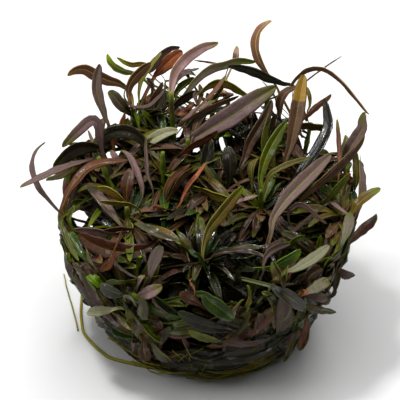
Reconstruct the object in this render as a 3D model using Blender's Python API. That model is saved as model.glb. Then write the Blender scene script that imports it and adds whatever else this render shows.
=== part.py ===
# A clump of narrow-leaved hygrophila that grew in a round cup and was lifted out of it.
# A flat mat of roots carries leafy shoots, and a few loose roots trail on the surface at one side.
import math
import random

import bmesh
import bpy
from mathutils import Matrix, Vector, noise
from mathutils.bvhtree import BVHTree

# Lengths here are in millimetres, and each finished piece is scaled to metres.
METRES = 0.001

# The clump's outer form: a round wall that widens upwards, under a top that is level in front and rises behind
FOOT_RADIUS = 24.5
WALL_RADIUS = 36.0
WALL_FLARE_HEIGHT = 34.0
TOP_HEIGHT = 36.0
TOP_SLOPE = 0.5
INNER_TOP_HEIGHT = 31.0
INNER_TOP_SLOPE = 0.35

# The photograph's line of sight, which places each leaf seen in it
SIGHT_ELEVATION = math.radians(37)
SIGHT_DISTANCE = 500.0
PIXELS_PER_MM = 4.17
PICTURE_MIDDLE = 200.0
AIM = Vector((-1.5, 0.0, 35.0))
RIGHT = Vector((1, 0, 0))
UPWARD = Vector((0, math.sin(SIGHT_ELEVATION), math.cos(SIGHT_ELEVATION)))
TOWARD = Vector((0, -math.cos(SIGHT_ELEVATION), math.sin(SIGHT_ELEVATION)))
NEAREST_REACH = 56
FARTHEST_REACH = -56

# Root mat and loose roots
MAT_HEIGHT = 7.0
MAT_SIDES = 28
MAT_PROFILE = ((0.0, 0.95), (1.2, 1.0), (3.2, 1.05), (5.4, 1.04), (6.6, 0.98), (MAT_HEIGHT, 0.9))
MAT_RADIUS = 22.5
MAT_LUMPS = 0.05
ROOT_RADIUS = 0.45
ROOT_LEAST_RADIUS = 24.6
ROOT_POINTS = 12

# Blades and stems
GAP = 0.35
BLADE_KEEL = 0.75
BLADE_OUTLINE = ((0.0, 0.28), (0.15, 0.5), (0.3, 0.82), (0.45, 0.97), (0.6, 1.0), (0.75, 0.92), (0.87, 0.72),
                 (0.95, 0.45), (1.0, 0.08))
STALK_SHARE = 0.28
MOST_BARE = 0.6
GROWN_BARE = 0.08
SLIM_WIDTH = 3.0
SLIM_WIDENING = 1.5
STEM_RADIUS = 0.95
STEM_SIDES = 5
STEM_POINTS = 4
LEAST_POINTS = 4
MOST_POINTS = 7
BEND_PER_POINT = math.radians(95)
LEAST_HEIGHT = 1.2
STEEPEST_REACH = 0.85
BLADE_BOW = 1.2
FREE_SHARE = 0.34
NEAR_STEM = 3.0
BEHIND_FOOT = 3.0
ASIDE_COST = 1.6
CLIMB_COST = 1.5
WELD = 0.02
NUDGES = (0.0, 0.06, -0.06, 0.14, -0.14, 0.22, -0.22)
SHIFTS = (0, 1.5, -1.5, 3, -3, 4.5, -4.5, 6, -6, 8, -8, 10, -10, 12, -12)
SEED = 11

# Each shoot's stem, from its foot on the mat to its top
STEMS = {
    "left_outer": ((-19, -1, 7.4), (-26, -3, 13), (-30, -3, 19), (-33.5, -2, 31.5)),
    "left_back": ((-15, 6, 7.4), (-20, 6, 22), (-22.5, 6, 34), (-26, 8, 42)),
    "left_mid": ((-13, -4, 7.4), (-17, -5, 20), (-19, -4, 36)),
    "left_front": ((-17, -9, 7.4), (-25, -13, 15), (-28, -15, 24)),
    "front_left": ((-11, -14, 7.4), (-16, -22, 13), (-18, -24, 21)),
    "front_centre": ((-2, -10, 7.4), (-2, -14, 16), (-1, -17, 28)),
    "front_mid": ((4, -16, 7.4), (6, -25, 12), (7, -28, 19)),
    "front_right": ((12, -13, 7.4), (16, -19, 12), (17, -21, 21)),
    "right_front": ((17, -8, 7.4), (25, -14, 17), (28, -16, 26)),
    "right_outer": ((19, -1, 7.4), (29, -3, 19), (33, -2, 31)),
    "right_mid": ((10, 0, 7.4), (13, 0, 26), (13, 0, 38)),
    "centre_left": ((-7, 4, 7.4), (-10, 8, 27), (-10.5, 10, 42)),
    "centre": ((3, 4, 7.4), (3, 5, 20), (2, 6, 32)),
    "back_mid": ((-1, 10, 7.4), (-4, 13, 32), (-4.5, 14, 43)),
    "back_left": ((-10, 14, 7.4), (-16, 22, 28), (-18, 26, 43)),
    "back_centre": ((-6, 18, 7.4), (-8, 20, 38), (-8.6, 21, 52)),
    "back_outer": ((2, 19, 7.4), (1, 29, 26), (2, 32, 43)),
    "back_right": ((9, 13, 7.4), (13, 20, 34), (15, 24, 48)),
    "right_back": ((16, 6, 7.4), (23, 9, 28), (27, 12, 42)),
    "far_right": ((13.5, 12.5, 7.4), (23, 23, 25), (26, 25, 40)),
    "far_left": ((-16, 10, 7.4), (-27, 15, 23), (-30, 17, 36)),
}

# Leaves seen in the photograph: tint, seen width in mm, reach in mm past the clump's form at the foot and at
# the tip, and the midline from the tip to the foot in the photograph's 400 by 400 pixels.
SEEN_LEAVES = {
    "hook_left": ("mauve", 1.5, -2, 1,
                  ((45, 142), (37.7, 149), (33, 160), (33, 170), (39, 187), (50, 201), (64, 217))),
    "spear_left": ("mauve", 1.8, -3, 0,
                  ((20, 187), (36, 179.5), (51, 172.5), (67, 166), (84, 161), (98, 157))),
    "dark_left": ("black", 3.6, -4, 0, ((53, 169), (65, 157), (78, 149), (94, 147.5), (108, 150))),
    "olive_left": ("olive", 1.9, -5, -1, ((46, 180), (60, 177), (80, 165), (96, 160))),
    "arched_left": ("rust", 2.4, -1, 2,
                  ((128, 160), (106, 162), (95, 164.5), (84, 171), (77, 180), (69, 190), (64, 203),
                   (64, 216))),
    "green_left": ("green", 1.4, -2, 1, ((78.5, 261), (72, 251.5), (67, 241), (63.5, 229), (62.5, 217))),
    "pointing_left": ("brown", 2.9, -6, 0,
                  ((67.5, 75.5), (75, 70.5), (85, 69.5), (95, 75), (108, 80.5), (122, 85), (131, 94))),
    "upright_left": ("taupe", 2.3, -3, 0,
                  ((100, 64), (97, 77), (96.5, 90), (100, 103), (105, 117), (108, 130))),
    "top_green": ("green", 1.7, -5, 0,
                  ((107.3, 54), (110, 61.5), (116, 67.5), (124, 71.5), (134, 74), (143, 80))),
    "top_thin": ("olive", 0.9, -6, 0, ((117, 57.5), (124, 62), (132, 65), (140, 64), (148, 66), (152, 76))),
    "top_olive": ("olive", 1.4, -4, 0,
                  ((161.5, 52.5), (153, 62), (146, 72), (141, 81), (139, 92), (138.5, 104))),
    "top_brown": ("brown", 2.0, -3, 0, ((151, 63), (141, 71), (132, 81), (128, 92), (131, 106))),
    "loop_mauve": ("mauve", 0.9, -4, 1,
                  ((126, 88), (123.6, 95), (126, 101), (132, 107), (147, 107), (154, 102), (165, 90),
                   (169, 80))),
    "rust_short": ("rust", 1.7, -3, 0, ((125, 113), (121, 122), (118, 130), (113, 142))),
    "arch_black": ("black", 3.4, -3, 0,
                  ((98, 145), (107, 135), (120, 131), (134, 134), (145, 145), (150, 156))),
    "bent_mauve": ("mauve", 1.8, -4, 0,
                  ((62, 147), (71, 138), (80.5, 129), (89.5, 121), (97, 122), (100, 135), (104, 158))),
    "red_upright": ("brown", 2.4, -4, 0, ((106, 117), (101, 130), (100.5, 153))),
    "thin_mauve": ("mauve", 0.8, -3, 0, ((88, 130), (94, 144.5), (104, 158), (110, 168))),
    "fringe_left": ("olive", 1.4, -5, 0, ((68, 144), (80, 145), (92, 150), (102, 158))),
    "pink_mauve": ("mauve", 1.5, -3, 1,
                  ((121, 150), (128.6, 155.5), (134, 166), (139.5, 180), (142, 190), (141, 205))),
    "brown_broad": ("rust", 3.2, -4, 0, ((131, 168), (127, 185), (127, 205))),
    "small_mauve": ("mauve", 1.2, -4, 0, ((110.5, 150), (116, 159), (121, 170))),
    "grey_green": ("greygreen", 2.9, -4, 1, ((178, 130), (165, 133), (152, 140), (142, 149), (137, 158))),
    "thin_upright": ("mauve", 0.9, -3, 1, ((146, 137), (145.5, 149), (146.4, 163), (147, 175), (153, 200))),
    "orange_curled": ("orange", 3.4, -4, 0,
                  ((182.5, 51), (176, 55.5), (169, 61.5), (162, 68.5), (157, 74), (153, 79))),
    "mauve_arch": ("mauve", 2.6, -4, 1,
                  ((218.6, 43), (208, 45.5), (200, 48.5), (190, 55), (182, 62), (176, 70), (172.5, 79),
                   (171, 92), (170, 110))),
    "small_grey": ("mauve", 1.3, -4, 0, ((237, 46), (236, 55), (233.5, 63))),
    "long_arch": ("greygreen", 1.9, -5, 0,
                  ((256, 62), (239, 60), (225, 64), (210, 68), (195.5, 80), (182, 98), (174, 110))),
    "blade_black": ("slate", 2.2, -5, 0,
                  ((228, 66), (241, 68), (256, 72.5), (270, 79), (284, 84), (295, 88))),
    "olive_arch": ("olive", 1.8, -4, 0,
                  ((249, 97), (239, 91), (230, 85.5), (219, 82.7), (208, 87), (200, 97))),
    "narrow_pair_a": ("brown", 1.0, -5, 0, ((226, 75), (217, 88), (207, 99), (196, 110))),
    "narrow_pair_b": ("olive", 0.9, -6, 0, ((228, 80), (220, 90), (210, 103), (200, 116))),
    "mauve_low": ("mauve", 1.3, -4, 0, ((216, 100), (199, 108), (189, 115.5), (178, 124))),
    "brown_low": ("brown", 1.1, -3, 0, ((239, 96), (215, 105), (195, 115), (175, 128))),
    "broad_mauve": ("taupe", 5.1, -4, 2,
                  ((276, 86.5), (250, 103), (233, 115), (208, 130), (194, 138), (170, 150))),
    "rust_under": ("rust", 1.7, -4, 0, ((218, 131), (203, 140), (190, 147), (176, 158))),
    "tall_hook": ("brown", 1.9, -5, 0,
                  ((271.5, 20.5), (264, 25), (258, 32), (255.5, 42), (256.5, 53), (261, 64), (268, 75),
                   (276, 86))),
    "arched_right": ("brown", 1.4, -5, 0,
                  ((368.6, 114.5), (357, 99), (342, 81), (326, 69), (308, 69), (293.6, 81), (282, 94))),
    "stick_right": ("brown", 0.5, -4, 0, ((342, 56), (325.5, 67), (305.5, 82), (292, 96))),
    "yellow_tip": ("yellow", 3.7, -4, 1,
                  ((304, 74.5), (301, 88), (298.5, 103), (296.5, 116), (293.5, 131), (290, 147),
                   (285, 167))),
    "brown_behind": ("brown", 1.8, -5, 0, ((295.5, 87), (285.5, 93), (281, 101), (280, 110), (282, 122))),
    "orange_right": ("rust", 1.5, -5, 0, ((331.4, 94.5), (325.5, 100), (317, 106), (310, 113), (300, 124))),
    "dark_long": ("slate", 2.5, -3, 1,
                  ((324, 98), (327, 113), (328, 126), (318.6, 147), (304, 167), (287, 189), (268.6, 207))),
    "olive_right": ("olive", 2.3, -6, 0, ((333, 128), (320, 127), (303, 126), (290, 132))),
    "narrow_right": ("brown", 1.0, -3, 0, ((337, 119), (339, 137), (340, 165), (338, 185))),
    "grey_right": ("greygreen", 2.1, -4, 0, ((346, 135), (344.5, 146), (340, 160), (335, 172))),
    "torn_right": ("taupe", 2.4, -4, 0,
                  ((365, 112), (362.5, 119), (363, 127), (357, 137), (349, 149), (344, 161))),
    "diagonal_long": ("brown", 2.0, -2, 1,
                  ((365, 135), (358, 146), (346, 158.5), (330, 173.5), (313, 188), (300, 201), (290, 212))),
    "broad_right": ("taupe", 3.8, -4, 2,
                  ((331, 154), (318, 167), (306, 179), (293, 192), (281, 206), (272, 222), (269, 240))),
    "green_right": ("green", 1.5, -4, 0, ((349, 174), (334, 191), (327, 199), (314, 206))),
    "pink_stick": ("mauve", 0.8, -4, 0, ((351, 217), (341, 210), (330.5, 203), (318, 203))),
    "pink_arch": ("mauve", 1.1, -3, 1,
                  ((327, 224), (319.5, 218), (308, 207), (299, 204), (291, 209), (289, 222))),
    "spear_right": ("olive", 1.9, -4, 0, ((380.5, 188), (372, 193), (362, 200), (355, 208), (347, 222))),
    "spear_low": ("brown", 2.1, -4, 0, ((377, 214.5), (372, 221), (364, 227), (355, 235.5), (344, 248))),
    "pale_right": ("greygreen", 1.9, -3, 0, ((349.5, 212), (348.6, 224.5), (346, 234), (340, 248))),
    "wall_right_a": ("taupe", 2.0, -3, 0, ((360, 160), (362, 180), (360, 200), (354, 222))),
    "wall_right_b": ("olive", 1.8, -4, 0, ((355, 150), (357, 172), (352, 195))),
    "central_vee": ("olive", 2.7, -3, 2,
                  ((243.6, 186.4), (237, 194), (223, 212), (209, 230), (204, 245), (202, 262))),
    "central_long": ("brown", 0.9, -3, 1,
                  ((331, 201), (309.5, 218), (290, 234.5), (271, 245.5), (241, 251), (213, 254.5),
                   (202, 262))),
    "central_short": ("darkgreen", 1.0, -3, 1, ((189, 249), (195, 255), (202, 262))),
    "pink_small": ("mauve", 1.2, -5, 0, ((258, 195.5), (241, 201), (228, 206))),
    "yellow_green": ("green", 2.9, -3, 1,
                  ((286.5, 121), (278.5, 134), (270.5, 148), (264.5, 162), (260.5, 178), (259, 194))),
    "olive_curved": ("olive", 1.2, -3, 1, ((310, 158.5), (296, 162), (278, 170), (268.6, 178), (260, 192))),
    "green_tipped": ("brown", 2.4, -4, 1,
                  ((272, 100), (266.5, 115), (258.5, 129), (250.5, 142), (245, 158), (243, 178))),
    "red_pair_a": ("rust", 1.8, -4, 0, ((190.5, 164), (179, 173.6), (172.7, 180), (167, 189), (163, 203))),
    "red_pair_b": ("brown", 1.5, -3, 1, ((193, 168), (182, 177), (175, 187), (168, 200))),
    "pink_narrow": ("orange", 1.2, -4, 1,
                  ((206.4, 162.7), (195.5, 178), (189, 185.5), (183.6, 195.5), (176, 209))),
    "olive_centre": ("olive", 2.0, -6, -1, ((232, 200), (215, 196), (200, 190), (188, 187))),
    "orange_olive": ("olive", 1.8, -4, 0, ((97, 188.6), (107, 190), (117, 196), (127, 206))),
    "mauve_slope": ("taupe", 2.3, -4, 0, ((87, 185.5), (96, 194), (104, 203), (112, 214), (124, 228))),
    "olive_flat": ("olive", 1.2, -4, 1, ((99.5, 201), (122, 203), (131, 204.5), (141, 213))),
    "rusty_big": ("rust", 4.6, -3, 2,
                  ((79, 233.5), (88, 241), (98, 246.5), (110, 250.5), (125, 252.5), (140, 251), (152, 245),
                   (160, 238))),
    "mauve_over": ("mauve", 1.5, -4, 1,
                  ((72, 230), (86, 230), (99.5, 232), (110, 235), (122, 233), (133, 228))),
    "olive_low": ("olive", 1.8, -5, 0, ((134.5, 223), (148, 229), (158.6, 234.5), (170.5, 239), (183, 243))),
    "spoon_mauve": ("taupe", 2.9, -4, 1, ((161, 245.5), (156.5, 256), (152, 268), (148, 282))),
    "hanging_centre": ("olive", 2.4, -4, 1, ((189, 280), (186, 262), (180, 245), (178, 232))),
    "low_left_mauve": ("brown", 2.5, -4, 0, ((72.5, 265), (82, 267), (92, 268), (102, 267.5), (114, 262))),
    "low_left_olive": ("brown", 2.1, -4, 1, ((138, 279.5), (128, 273.5), (118, 266), (109, 258))),
    "low_left_rust": ("rust", 1.6, -3, 0, ((101, 272), (104.5, 267), (110, 261))),
    "bright_left": ("bright", 1.8, -4, 0, ((88, 275), (96, 281), (105, 289))),
    "wet_left": ("slate", 3.3, -3, 0, ((100, 285), (107, 289.5), (115, 293), (126, 297))),
    "round_left": ("greygreen", 2.0, -4, 1, ((87, 312), (98, 311.5), (108, 311), (120, 308))),
    "spoon_low": ("mauve", 2.8, -3, 1, ((162, 286), (154, 290.5), (145, 294), (137, 298))),
    "rust_low": ("rust", 2.9, -4, 1, ((168.5, 315), (163, 311), (157, 305.5), (150, 299))),
    "bright_low": ("green", 2.1, -4, 0, ((139, 296), (143, 306), (146, 319))),
    "taupe_low": ("taupe", 1.9, -4, 0, ((172, 327), (162, 325.5), (150, 321), (140, 317))),
    "dark_low": ("green", 2.2, -4, 0, ((161, 341), (150.5, 332), (142, 323))),
    "grey_low": ("greygreen", 2.5, -3, 0, ((171, 362), (160, 353), (151, 342))),
    "brown_low_left": ("brown", 2.8, -3, 0, ((147, 361), (144, 351), (143, 338))),
    "green_low_left": ("darkgreen", 3.1, -4, 0, ((112, 328), (123, 332.5), (138, 337))),
    "wall_left": ("slate", 2.2, -3, 0, ((95, 316), (102, 322.5), (113, 329))),
    "broad_green": ("darkgreen", 3.9, -4, 1, ((233, 320), (222, 310), (210, 301.5), (196, 294.5))),
    "olive_front": ("olive", 3.1, -4, 1, ((249, 311), (242, 321), (234.5, 330), (225, 343))),
    "green_front": ("darkgreen", 2.3, -4, 1, ((248, 285), (250, 296), (248, 309))),
    "grey_front": ("greygreen", 1.3, -3, 1, ((243, 299), (236, 308), (230, 318))),
    "dark_front": ("slate", 3.1, -4, 0, ((178, 312), (196, 322), (214, 328), (232, 330))),
    "edge_front": ("green", 1.8, -3, 0, ((189, 331), (205.5, 337), (222, 341))),
    "taupe_front": ("taupe", 2.4, -3, 0, ((181, 333), (186, 345.5), (197, 357))),
    "band_front": ("mauve", 1.4, -3, 1, ((222, 341), (240, 343), (260, 341), (274, 334))),
    "wall_front": ("slate", 4.2, -3, 0, ((194, 361), (215, 357), (240, 355), (262, 350), (282, 338))),
    "silver_right": ("slate", 3.3, -3, 1, ((305, 309.5), (297, 303), (287, 296), (275, 289), (264, 284))),
    "bright_right": ("green", 1.4, -4, 1, ((305.5, 236), (296, 240), (283, 247))),
    "pale_low_right": ("greygreen", 2.1, -4, 1,
                  ((329, 245), (321, 252.5), (311, 260), (301, 266), (291, 271), (281, 276))),
    "glossy_right": ("darkgreen", 2.3, -5, 0, ((301, 250), (291, 257.5), (279, 264), (267, 268))),
    "folded_right": ("olive", 2.0, -4, 0, ((272.5, 261), (275, 268), (279, 275.5), (282, 284))),
    "tipped_right": ("olive", 2.3, -4, 1, ((335.5, 313), (325, 311), (314, 309), (303, 303), (292, 297))),
    "mauve_orange": ("mauve", 2.2, -3, 1, ((329, 281), (320, 285.5), (311, 290), (302, 294))),
    "torn_low": ("brown", 2.4, -3, 0, ((352, 277.5), (346, 274), (337, 269))),
    "wall_low_right": ("greygreen", 1.9, -3, 0, ((341, 270), (336, 283), (329, 298))),
    "hanging_right": ("brown", 1.7, -2, 1, ((299, 350), (305.5, 337), (308, 325), (307, 314))),
    "stub_right": ("olive", 1.2, -2, 0, ((284, 362), (290, 345), (298, 328))),
    "curl_pale": ("greygreen", 1.5, -3, 1, ((262, 292), (270, 297), (274, 306), (273, 318), (275, 328))),
    "rim_mauve": ("mauve", 1.5, -6, -2, ((180, 47.5), (170, 49.5), (160, 57), (153, 68), (146, 82))),
    "crumpled_left": ("black", 2.9, -5, -2, ((108.5, 91), (114, 96), (119, 103), (125, 109), (133, 113))),
    "thin_top": ("brown", 0.7, -6, -1, ((194, 60.3), (205, 61.5), (216, 63.5), (228, 68))),
    "green_bud": ("bright", 1.4, -6, -2, ((199, 68.5), (193, 69.5), (187, 74))),
    "wet_black_left": ("black", 3.0, -6, -1, ((210.5, 138), (208, 152), (205, 166), (203, 180))),
    "wet_black_right": ("black", 3.6, -5, 0, ((227, 146), (229.5, 158), (230, 170), (228, 184))),
    "grey_mid": ("greygreen", 1.4, -4, 0, ((134, 330), (126, 326), (121, 318), (111, 311))),
}

# The leaves that stand out, each a piece of its own
SINGLE_LEAVES = ("hook_left", "spear_left", "arched_left", "pointing_left", "upright_left", "grey_green",
                 "orange_curled", "mauve_arch", "long_arch", "blade_black", "broad_mauve", "tall_hook",
                 "arched_right", "yellow_tip", "dark_long", "diagonal_long", "broad_right", "spear_right",
                 "spear_low", "central_vee", "central_long", "yellow_green", "rusty_big", "broad_green",
                 "wall_front", "tipped_right")

# Openings that the photograph shows light through: middle and half-width in pixels
CLEAR_SIGHTS = ((80, 218, 8), (114, 154, 6), (178, 134, 5), (197, 149, 5), (224, 142, 7), (212, 115, 5),
                (311, 142, 10), (306, 136, 8))

# Leaves grown by rule fill the rest of each shoot
NODE_SPACING = 5.0
LOWEST_NODE = 10.0
GROWN_LENGTHS = (13.0, 24.0)
GROWN_WIDTHS = (3.2, 5.2)
GROWN_TRIES = 6
HIDDEN_DEPTH = 2.0

# Leaves that the cup's wall pressed flat
PRESSED_TRIES = 700
PRESSED_MOST = 75
PRESSED_HEIGHTS = (2.5, 24.0)
PRESSED_LENGTHS = (12.0, 21.0)
PRESSED_LEANS = (-1.3, 1.3)
PRESSED_WIDTHS = (3.6, 5.4)
PRESSED_INSET = 0.8

# Loose roots, from the mat to the free end, as pixels where they lie on the surface
LOOSE_ROOTS = {
    "long": ((158, 367), (135, 364), (112, 358), (100, 350.5), (90, 341), (83.5, 331), (81.5, 318), (81, 303),
             (83, 289), (86, 276)),
    "straight": ((78, 330), (75.5, 318), (72, 306), (68.5, 294), (66, 284), (64, 273)),
    "front": ((262, 368), (238, 375), (210, 378.5), (186, 377)),
}

TINTS = {
    "mauve": (0.235, 0.15, 0.17), "taupe": (0.15, 0.115, 0.095), "rust": (0.13, 0.035, 0.015),
    "brown": (0.065, 0.025, 0.018), "olive": (0.06, 0.065, 0.012), "green": (0.06, 0.12, 0.015),
    "slate": (0.03, 0.037, 0.036), "darkgreen": (0.02, 0.05, 0.012), "greygreen": (0.16, 0.18, 0.11),
    "yellow": (0.3, 0.23, 0.05), "orange": (0.4, 0.09, 0.02),
    "shoot": (0.055, 0.075, 0.012), "root": (0.42, 0.4, 0.13), "mat": (0.2, 0.2, 0.06),
}


def sight_point(px, py, reach):
    """The point that lies on a pixel's line of sight, reach mm nearer to the viewer than the aim."""
    spread = (SIGHT_DISTANCE - reach) / (SIGHT_DISTANCE * PIXELS_PER_MM)
    aside = RIGHT * (px - PICTURE_MIDDLE) + UPWARD * (PICTURE_MIDDLE - py)
    return AIM + TOWARD * reach + aside * spread


def pixel_of(point):
    """The pixel at which a point is seen, and its reach."""
    offset = point - AIM
    reach = offset.dot(TOWARD)
    scale = SIGHT_DISTANCE * PIXELS_PER_MM / (SIGHT_DISTANCE - reach)
    return PICTURE_MIDDLE + offset.dot(RIGHT) * scale, PICTURE_MIDDLE - offset.dot(UPWARD) * scale, reach


def wall_radius(height):
    share = min(max(height / WALL_FLARE_HEIGHT, 0.0), 1.0)
    return FOOT_RADIUS + (WALL_RADIUS - FOOT_RADIUS) * math.sin(share * math.pi / 2)


def outside_by(point):
    """How far a point lies outside the clump's outer form."""
    past_wall = math.hypot(point.x, point.y) - wall_radius(point.z)
    return max(past_wall, point.z - TOP_HEIGHT - TOP_SLOPE * max(point.y, 0.0), -point.z)


def form_reach(px, py):
    """The reach at which a line of sight meets the clump's form, or else passes closest to it."""
    best = None
    for reach in range(NEAREST_REACH, FARTHEST_REACH, -1):
        outside = outside_by(sight_point(px, py, reach))
        if outside <= 0:
            return reach
        if best is None or outside < best[0]:
            best = (outside, reach)
    return best[1]


def floor_point(px, py, height):
    """The point at a given height on a pixel's line of sight, kept outside the mat."""
    near, far = sight_point(px, py, NEAREST_REACH), sight_point(px, py, FARTHEST_REACH)
    point = near.lerp(far, (near.z - height) / (near.z - far.z))
    push = max(1.0, ROOT_LEAST_RADIUS / math.hypot(point.x, point.y))
    return Vector((point.x * push, point.y * push, height))


def smooth_line(points, count):
    """Evenly spaced points on a smooth curve through the given ones."""
    ends = [points[0] * 2 - points[1], *points, points[-1] * 2 - points[-2]]
    fine = []
    for a, b, c, d in zip(ends, ends[1:], ends[2:], ends[3:]):
        for step in range(8):
            t = step / 8
            fine.append((b * 2 + (c - a) * t + (a * 2 - b * 5 + c * 4 - d) * t * t
                         + (b * 3 - a - c * 3 + d) * t ** 3) / 2)
    fine.append(points[-1])
    lengths = [0.0]
    for a, b in zip(fine, fine[1:]):
        lengths.append(lengths[-1] + (b - a).length)
    line, spot = [], 0
    for index in range(count):
        wanted = lengths[-1] * index / (count - 1)
        while spot < len(fine) - 2 and lengths[spot + 1] < wanted:
            spot += 1
        share = (wanted - lengths[spot]) / max(lengths[spot + 1] - lengths[spot], 1e-9)
        line.append(fine[spot].lerp(fine[spot + 1], min(share, 1.0)))
    return line


def leaf_line(points):
    """A leaf's midline, with more points the more it bends."""
    fine = smooth_line(points, 12)
    bend = sum((b - a).angle(c - b) for a, b, c in zip(fine, fine[1:], fine[2:]))
    return smooth_line(points, min(LEAST_POINTS + round(bend / BEND_PER_POINT), MOST_POINTS))


def frames_along(line, facing):
    """The direction along a line and the crosswise one at each point, twisting as little as possible."""
    last = len(line) - 1
    along = [(line[min(i + 1, last)] - line[max(i - 1, 0)]).normalized() for i in range(last + 1)]
    across = [None] * (last + 1)
    middle = last // 2
    across[middle] = along[middle].cross(facing).normalized()
    for i in [*range(middle + 1, last + 1), *range(middle - 1, -1, -1)]:
        before = across[i - 1] if i > middle else across[i + 1]
        across[i] = (before - along[i] * before.dot(along[i])).normalized()
    return along, across


def bend_prism(line, facing, sides, place):
    """A prism cut at each point of a line and bent along it. place(index, x, y) turns a corner of the plain
    prism into its offsets across the line and above it."""
    last = len(line) - 1
    along, across = frames_along(line, facing)
    prism = bmesh.new()
    bmesh.ops.create_cone(prism, cap_ends=True, segments=sides, radius1=1, radius2=1, depth=1)
    for cut in range(1, last):
        everything = prism.verts[:] + prism.edges[:] + prism.faces[:]
        bmesh.ops.bisect_plane(prism, geom=everything, plane_co=(0, 0, cut / last - 0.5), plane_no=(0, 0, 1))
    for corner in prism.verts:
        index = round((corner.co.z + 0.5) * last)
        sideways, above = place(index, corner.co.x, corner.co.y)
        corner.co = line[index] + across[index] * sideways + across[index].cross(along[index]) * above
    return prism


def outline_at(share, outline):
    """The height of an outline given as points, at a share of its length."""
    for (x0, y0), (x1, y1) in zip(outline, outline[1:]):
        if share <= x1:
            return y0 + (y1 - y0) * (share - x0) / (x1 - x0)
    return outline[-1][1]


def bare_share(path, stalk):
    """The share of a leaf's path that its bare stalk takes."""
    return min(stalk / sum((b - a).length for a, b in zip(path, path[1:])), MOST_BARE)


def blade(path, facing, width, bare, room=0.0, skipped=0.0):
    """A lance-shaped blade with a keel under its midline, along a path that its bare stalk begins. Room makes
    it larger all round, and a share of its length can be skipped at its foot."""
    line = leaf_line(path)
    first = round(skipped * (len(line) - 1))
    line = line[first:]
    last = len(line) - 1

    def place(index, x, y):
        share = ((index + first) / (last + first) - bare) / (1 - bare)
        full = outline_at(share, BLADE_OUTLINE) if share > 0 else STALK_SHARE
        depth = (y + 0.5) / 1.5
        half = full * width / 2 + room * 1.6
        keel = BLADE_KEEL * (0.35 + 0.65 * full)
        return x / 0.866 * half, room - depth * (keel + room * 2)

    return bend_prism(line, facing, 3, place)


def stem_prism(line, radius):
    """A tapering stem whose foot is cut level with the mat."""
    last = len(line) - 1

    def place(index, x, y):
        thick = radius * (1.1 - 0.35 * index / last)
        return x * thick, -y * thick

    stem = bend_prism(line, Vector((0.3, 1, 0.1)), STEM_SIDES, place)
    for corner in stem.verts:
        if (corner.co - line[0]).length < 2 * radius:
            corner.co.z = line[0].z
    return stem


def root_mat():
    """The disc of matted roots, with a flat underside and a lumpy rim."""
    line = [Vector((0, 0, height)) for height, _ in MAT_PROFILE]

    def place(index, x, y):
        height, full = MAT_PROFILE[index]
        lump = noise.noise(Vector((x * 2.3, y * 2.3, height * 0.4)))
        radius = MAT_RADIUS * full * (1 + MAT_LUMPS * lump)
        return x * radius, -y * radius

    return bend_prism(line, Vector((0, 1, 0)), MAT_SIDES, place)


class Garden:
    """All that has been placed so far, with each piece's owner, so that new leaves keep clear of it."""

    def __init__(self):
        self.pieces = []

    def add(self, owner, mesh):
        corners = [vertex.co for vertex in mesh.verts]
        low = [min(corner[i] for corner in corners) for i in range(3)]
        high = [max(corner[i] for corner in corners) for i in range(3)]
        self.pieces.append((owner, BVHTree.FromBMesh(mesh), low, high))

    def clear(self, owner, path, facing, width, bare):
        """Whether a leaf on this path misses other owners' pieces, and past its foot its own owner's too."""
        whole = blade(path, facing, width, bare, GAP)
        free = blade(path, facing, width, bare, GAP, FREE_SHARE)
        low = [min(vertex.co[i] for vertex in whole.verts) for i in range(3)]
        high = [max(vertex.co[i] for vertex in whole.verts) for i in range(3)]
        whole_tree, free_tree = BVHTree.FromBMesh(whole), BVHTree.FromBMesh(free)
        for piece_owner, tree, piece_low, piece_high in self.pieces:
            if any(low[i] > piece_high[i] or high[i] < piece_low[i] for i in range(3)):
                continue
            if (free_tree if piece_owner == owner else whole_tree).overlap(tree):
                return False
        return True


def stem_lines():
    return {name: smooth_line([Vector(point) for point in points], STEM_POINTS)
            for name, points in STEMS.items()}


def nearest_stems(foot, heading, stems):
    """The points on the three stems that a leaf's foot most easily joins: near, behind its heading and out
    of the viewer's sight."""
    choices = []
    for name, line in stems.items():
        spots = smooth_line(line, 25)
        best = min(((spot - foot).length * (ASIDE_COST + (spot - foot).normalized().dot(heading))
                    + max(0.0, spot.z - foot.z) * CLIMB_COST
                    + max(0.0, (spot - foot).dot(TOWARD) + BEHIND_FOOT), index)
                   for index, spot in enumerate(spots[2:-1]))
        choices.append((best[0], name, spots[best[1] + 2]))
    return [(name, spot) for _, name, spot in sorted(choices, key=lambda choice: choice[0])[:3]]


def seen_points(entry, shift):
    """The midline of a leaf seen in the photograph, from its foot to its tip."""
    _, _, foot_reach, tip_reach, picture = entry
    picture = picture[::-1]
    walked = [0.0]
    for (x0, y0), (x1, y1) in zip(picture, picture[1:]):
        walked.append(walked[-1] + math.hypot(x1 - x0, y1 - y0))
    foot = form_reach(*picture[0]) + foot_reach + shift
    tip = form_reach(*picture[-1]) + tip_reach + shift
    most = STEEPEST_REACH * walked[-1] / PIXELS_PER_MM
    tip = foot + max(-most, min(most, tip - foot))
    points = []
    for (px, py), distance in zip(picture, walked):
        share = distance / walked[-1]
        bow = BLADE_BOW * math.sin(math.pi * share)
        points.append(sight_point(px, py, foot + (tip - foot) * share + bow))
    return points


def turned_facing(points, seen_width, turn_sign):
    """A leaf's real width, and the way its blade faces: one seen slim is a wider blade turned aside."""
    width = max(seen_width, min(SLIM_WIDTH, seen_width * SLIM_WIDENING))
    turn = math.acos(min(seen_width / width, 1.0))
    middle = len(points) // 2
    axis = (points[middle] - points[middle - 1]).normalized()
    return width, Matrix.Rotation(turn * turn_sign, 3, axis) @ TOWARD


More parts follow.
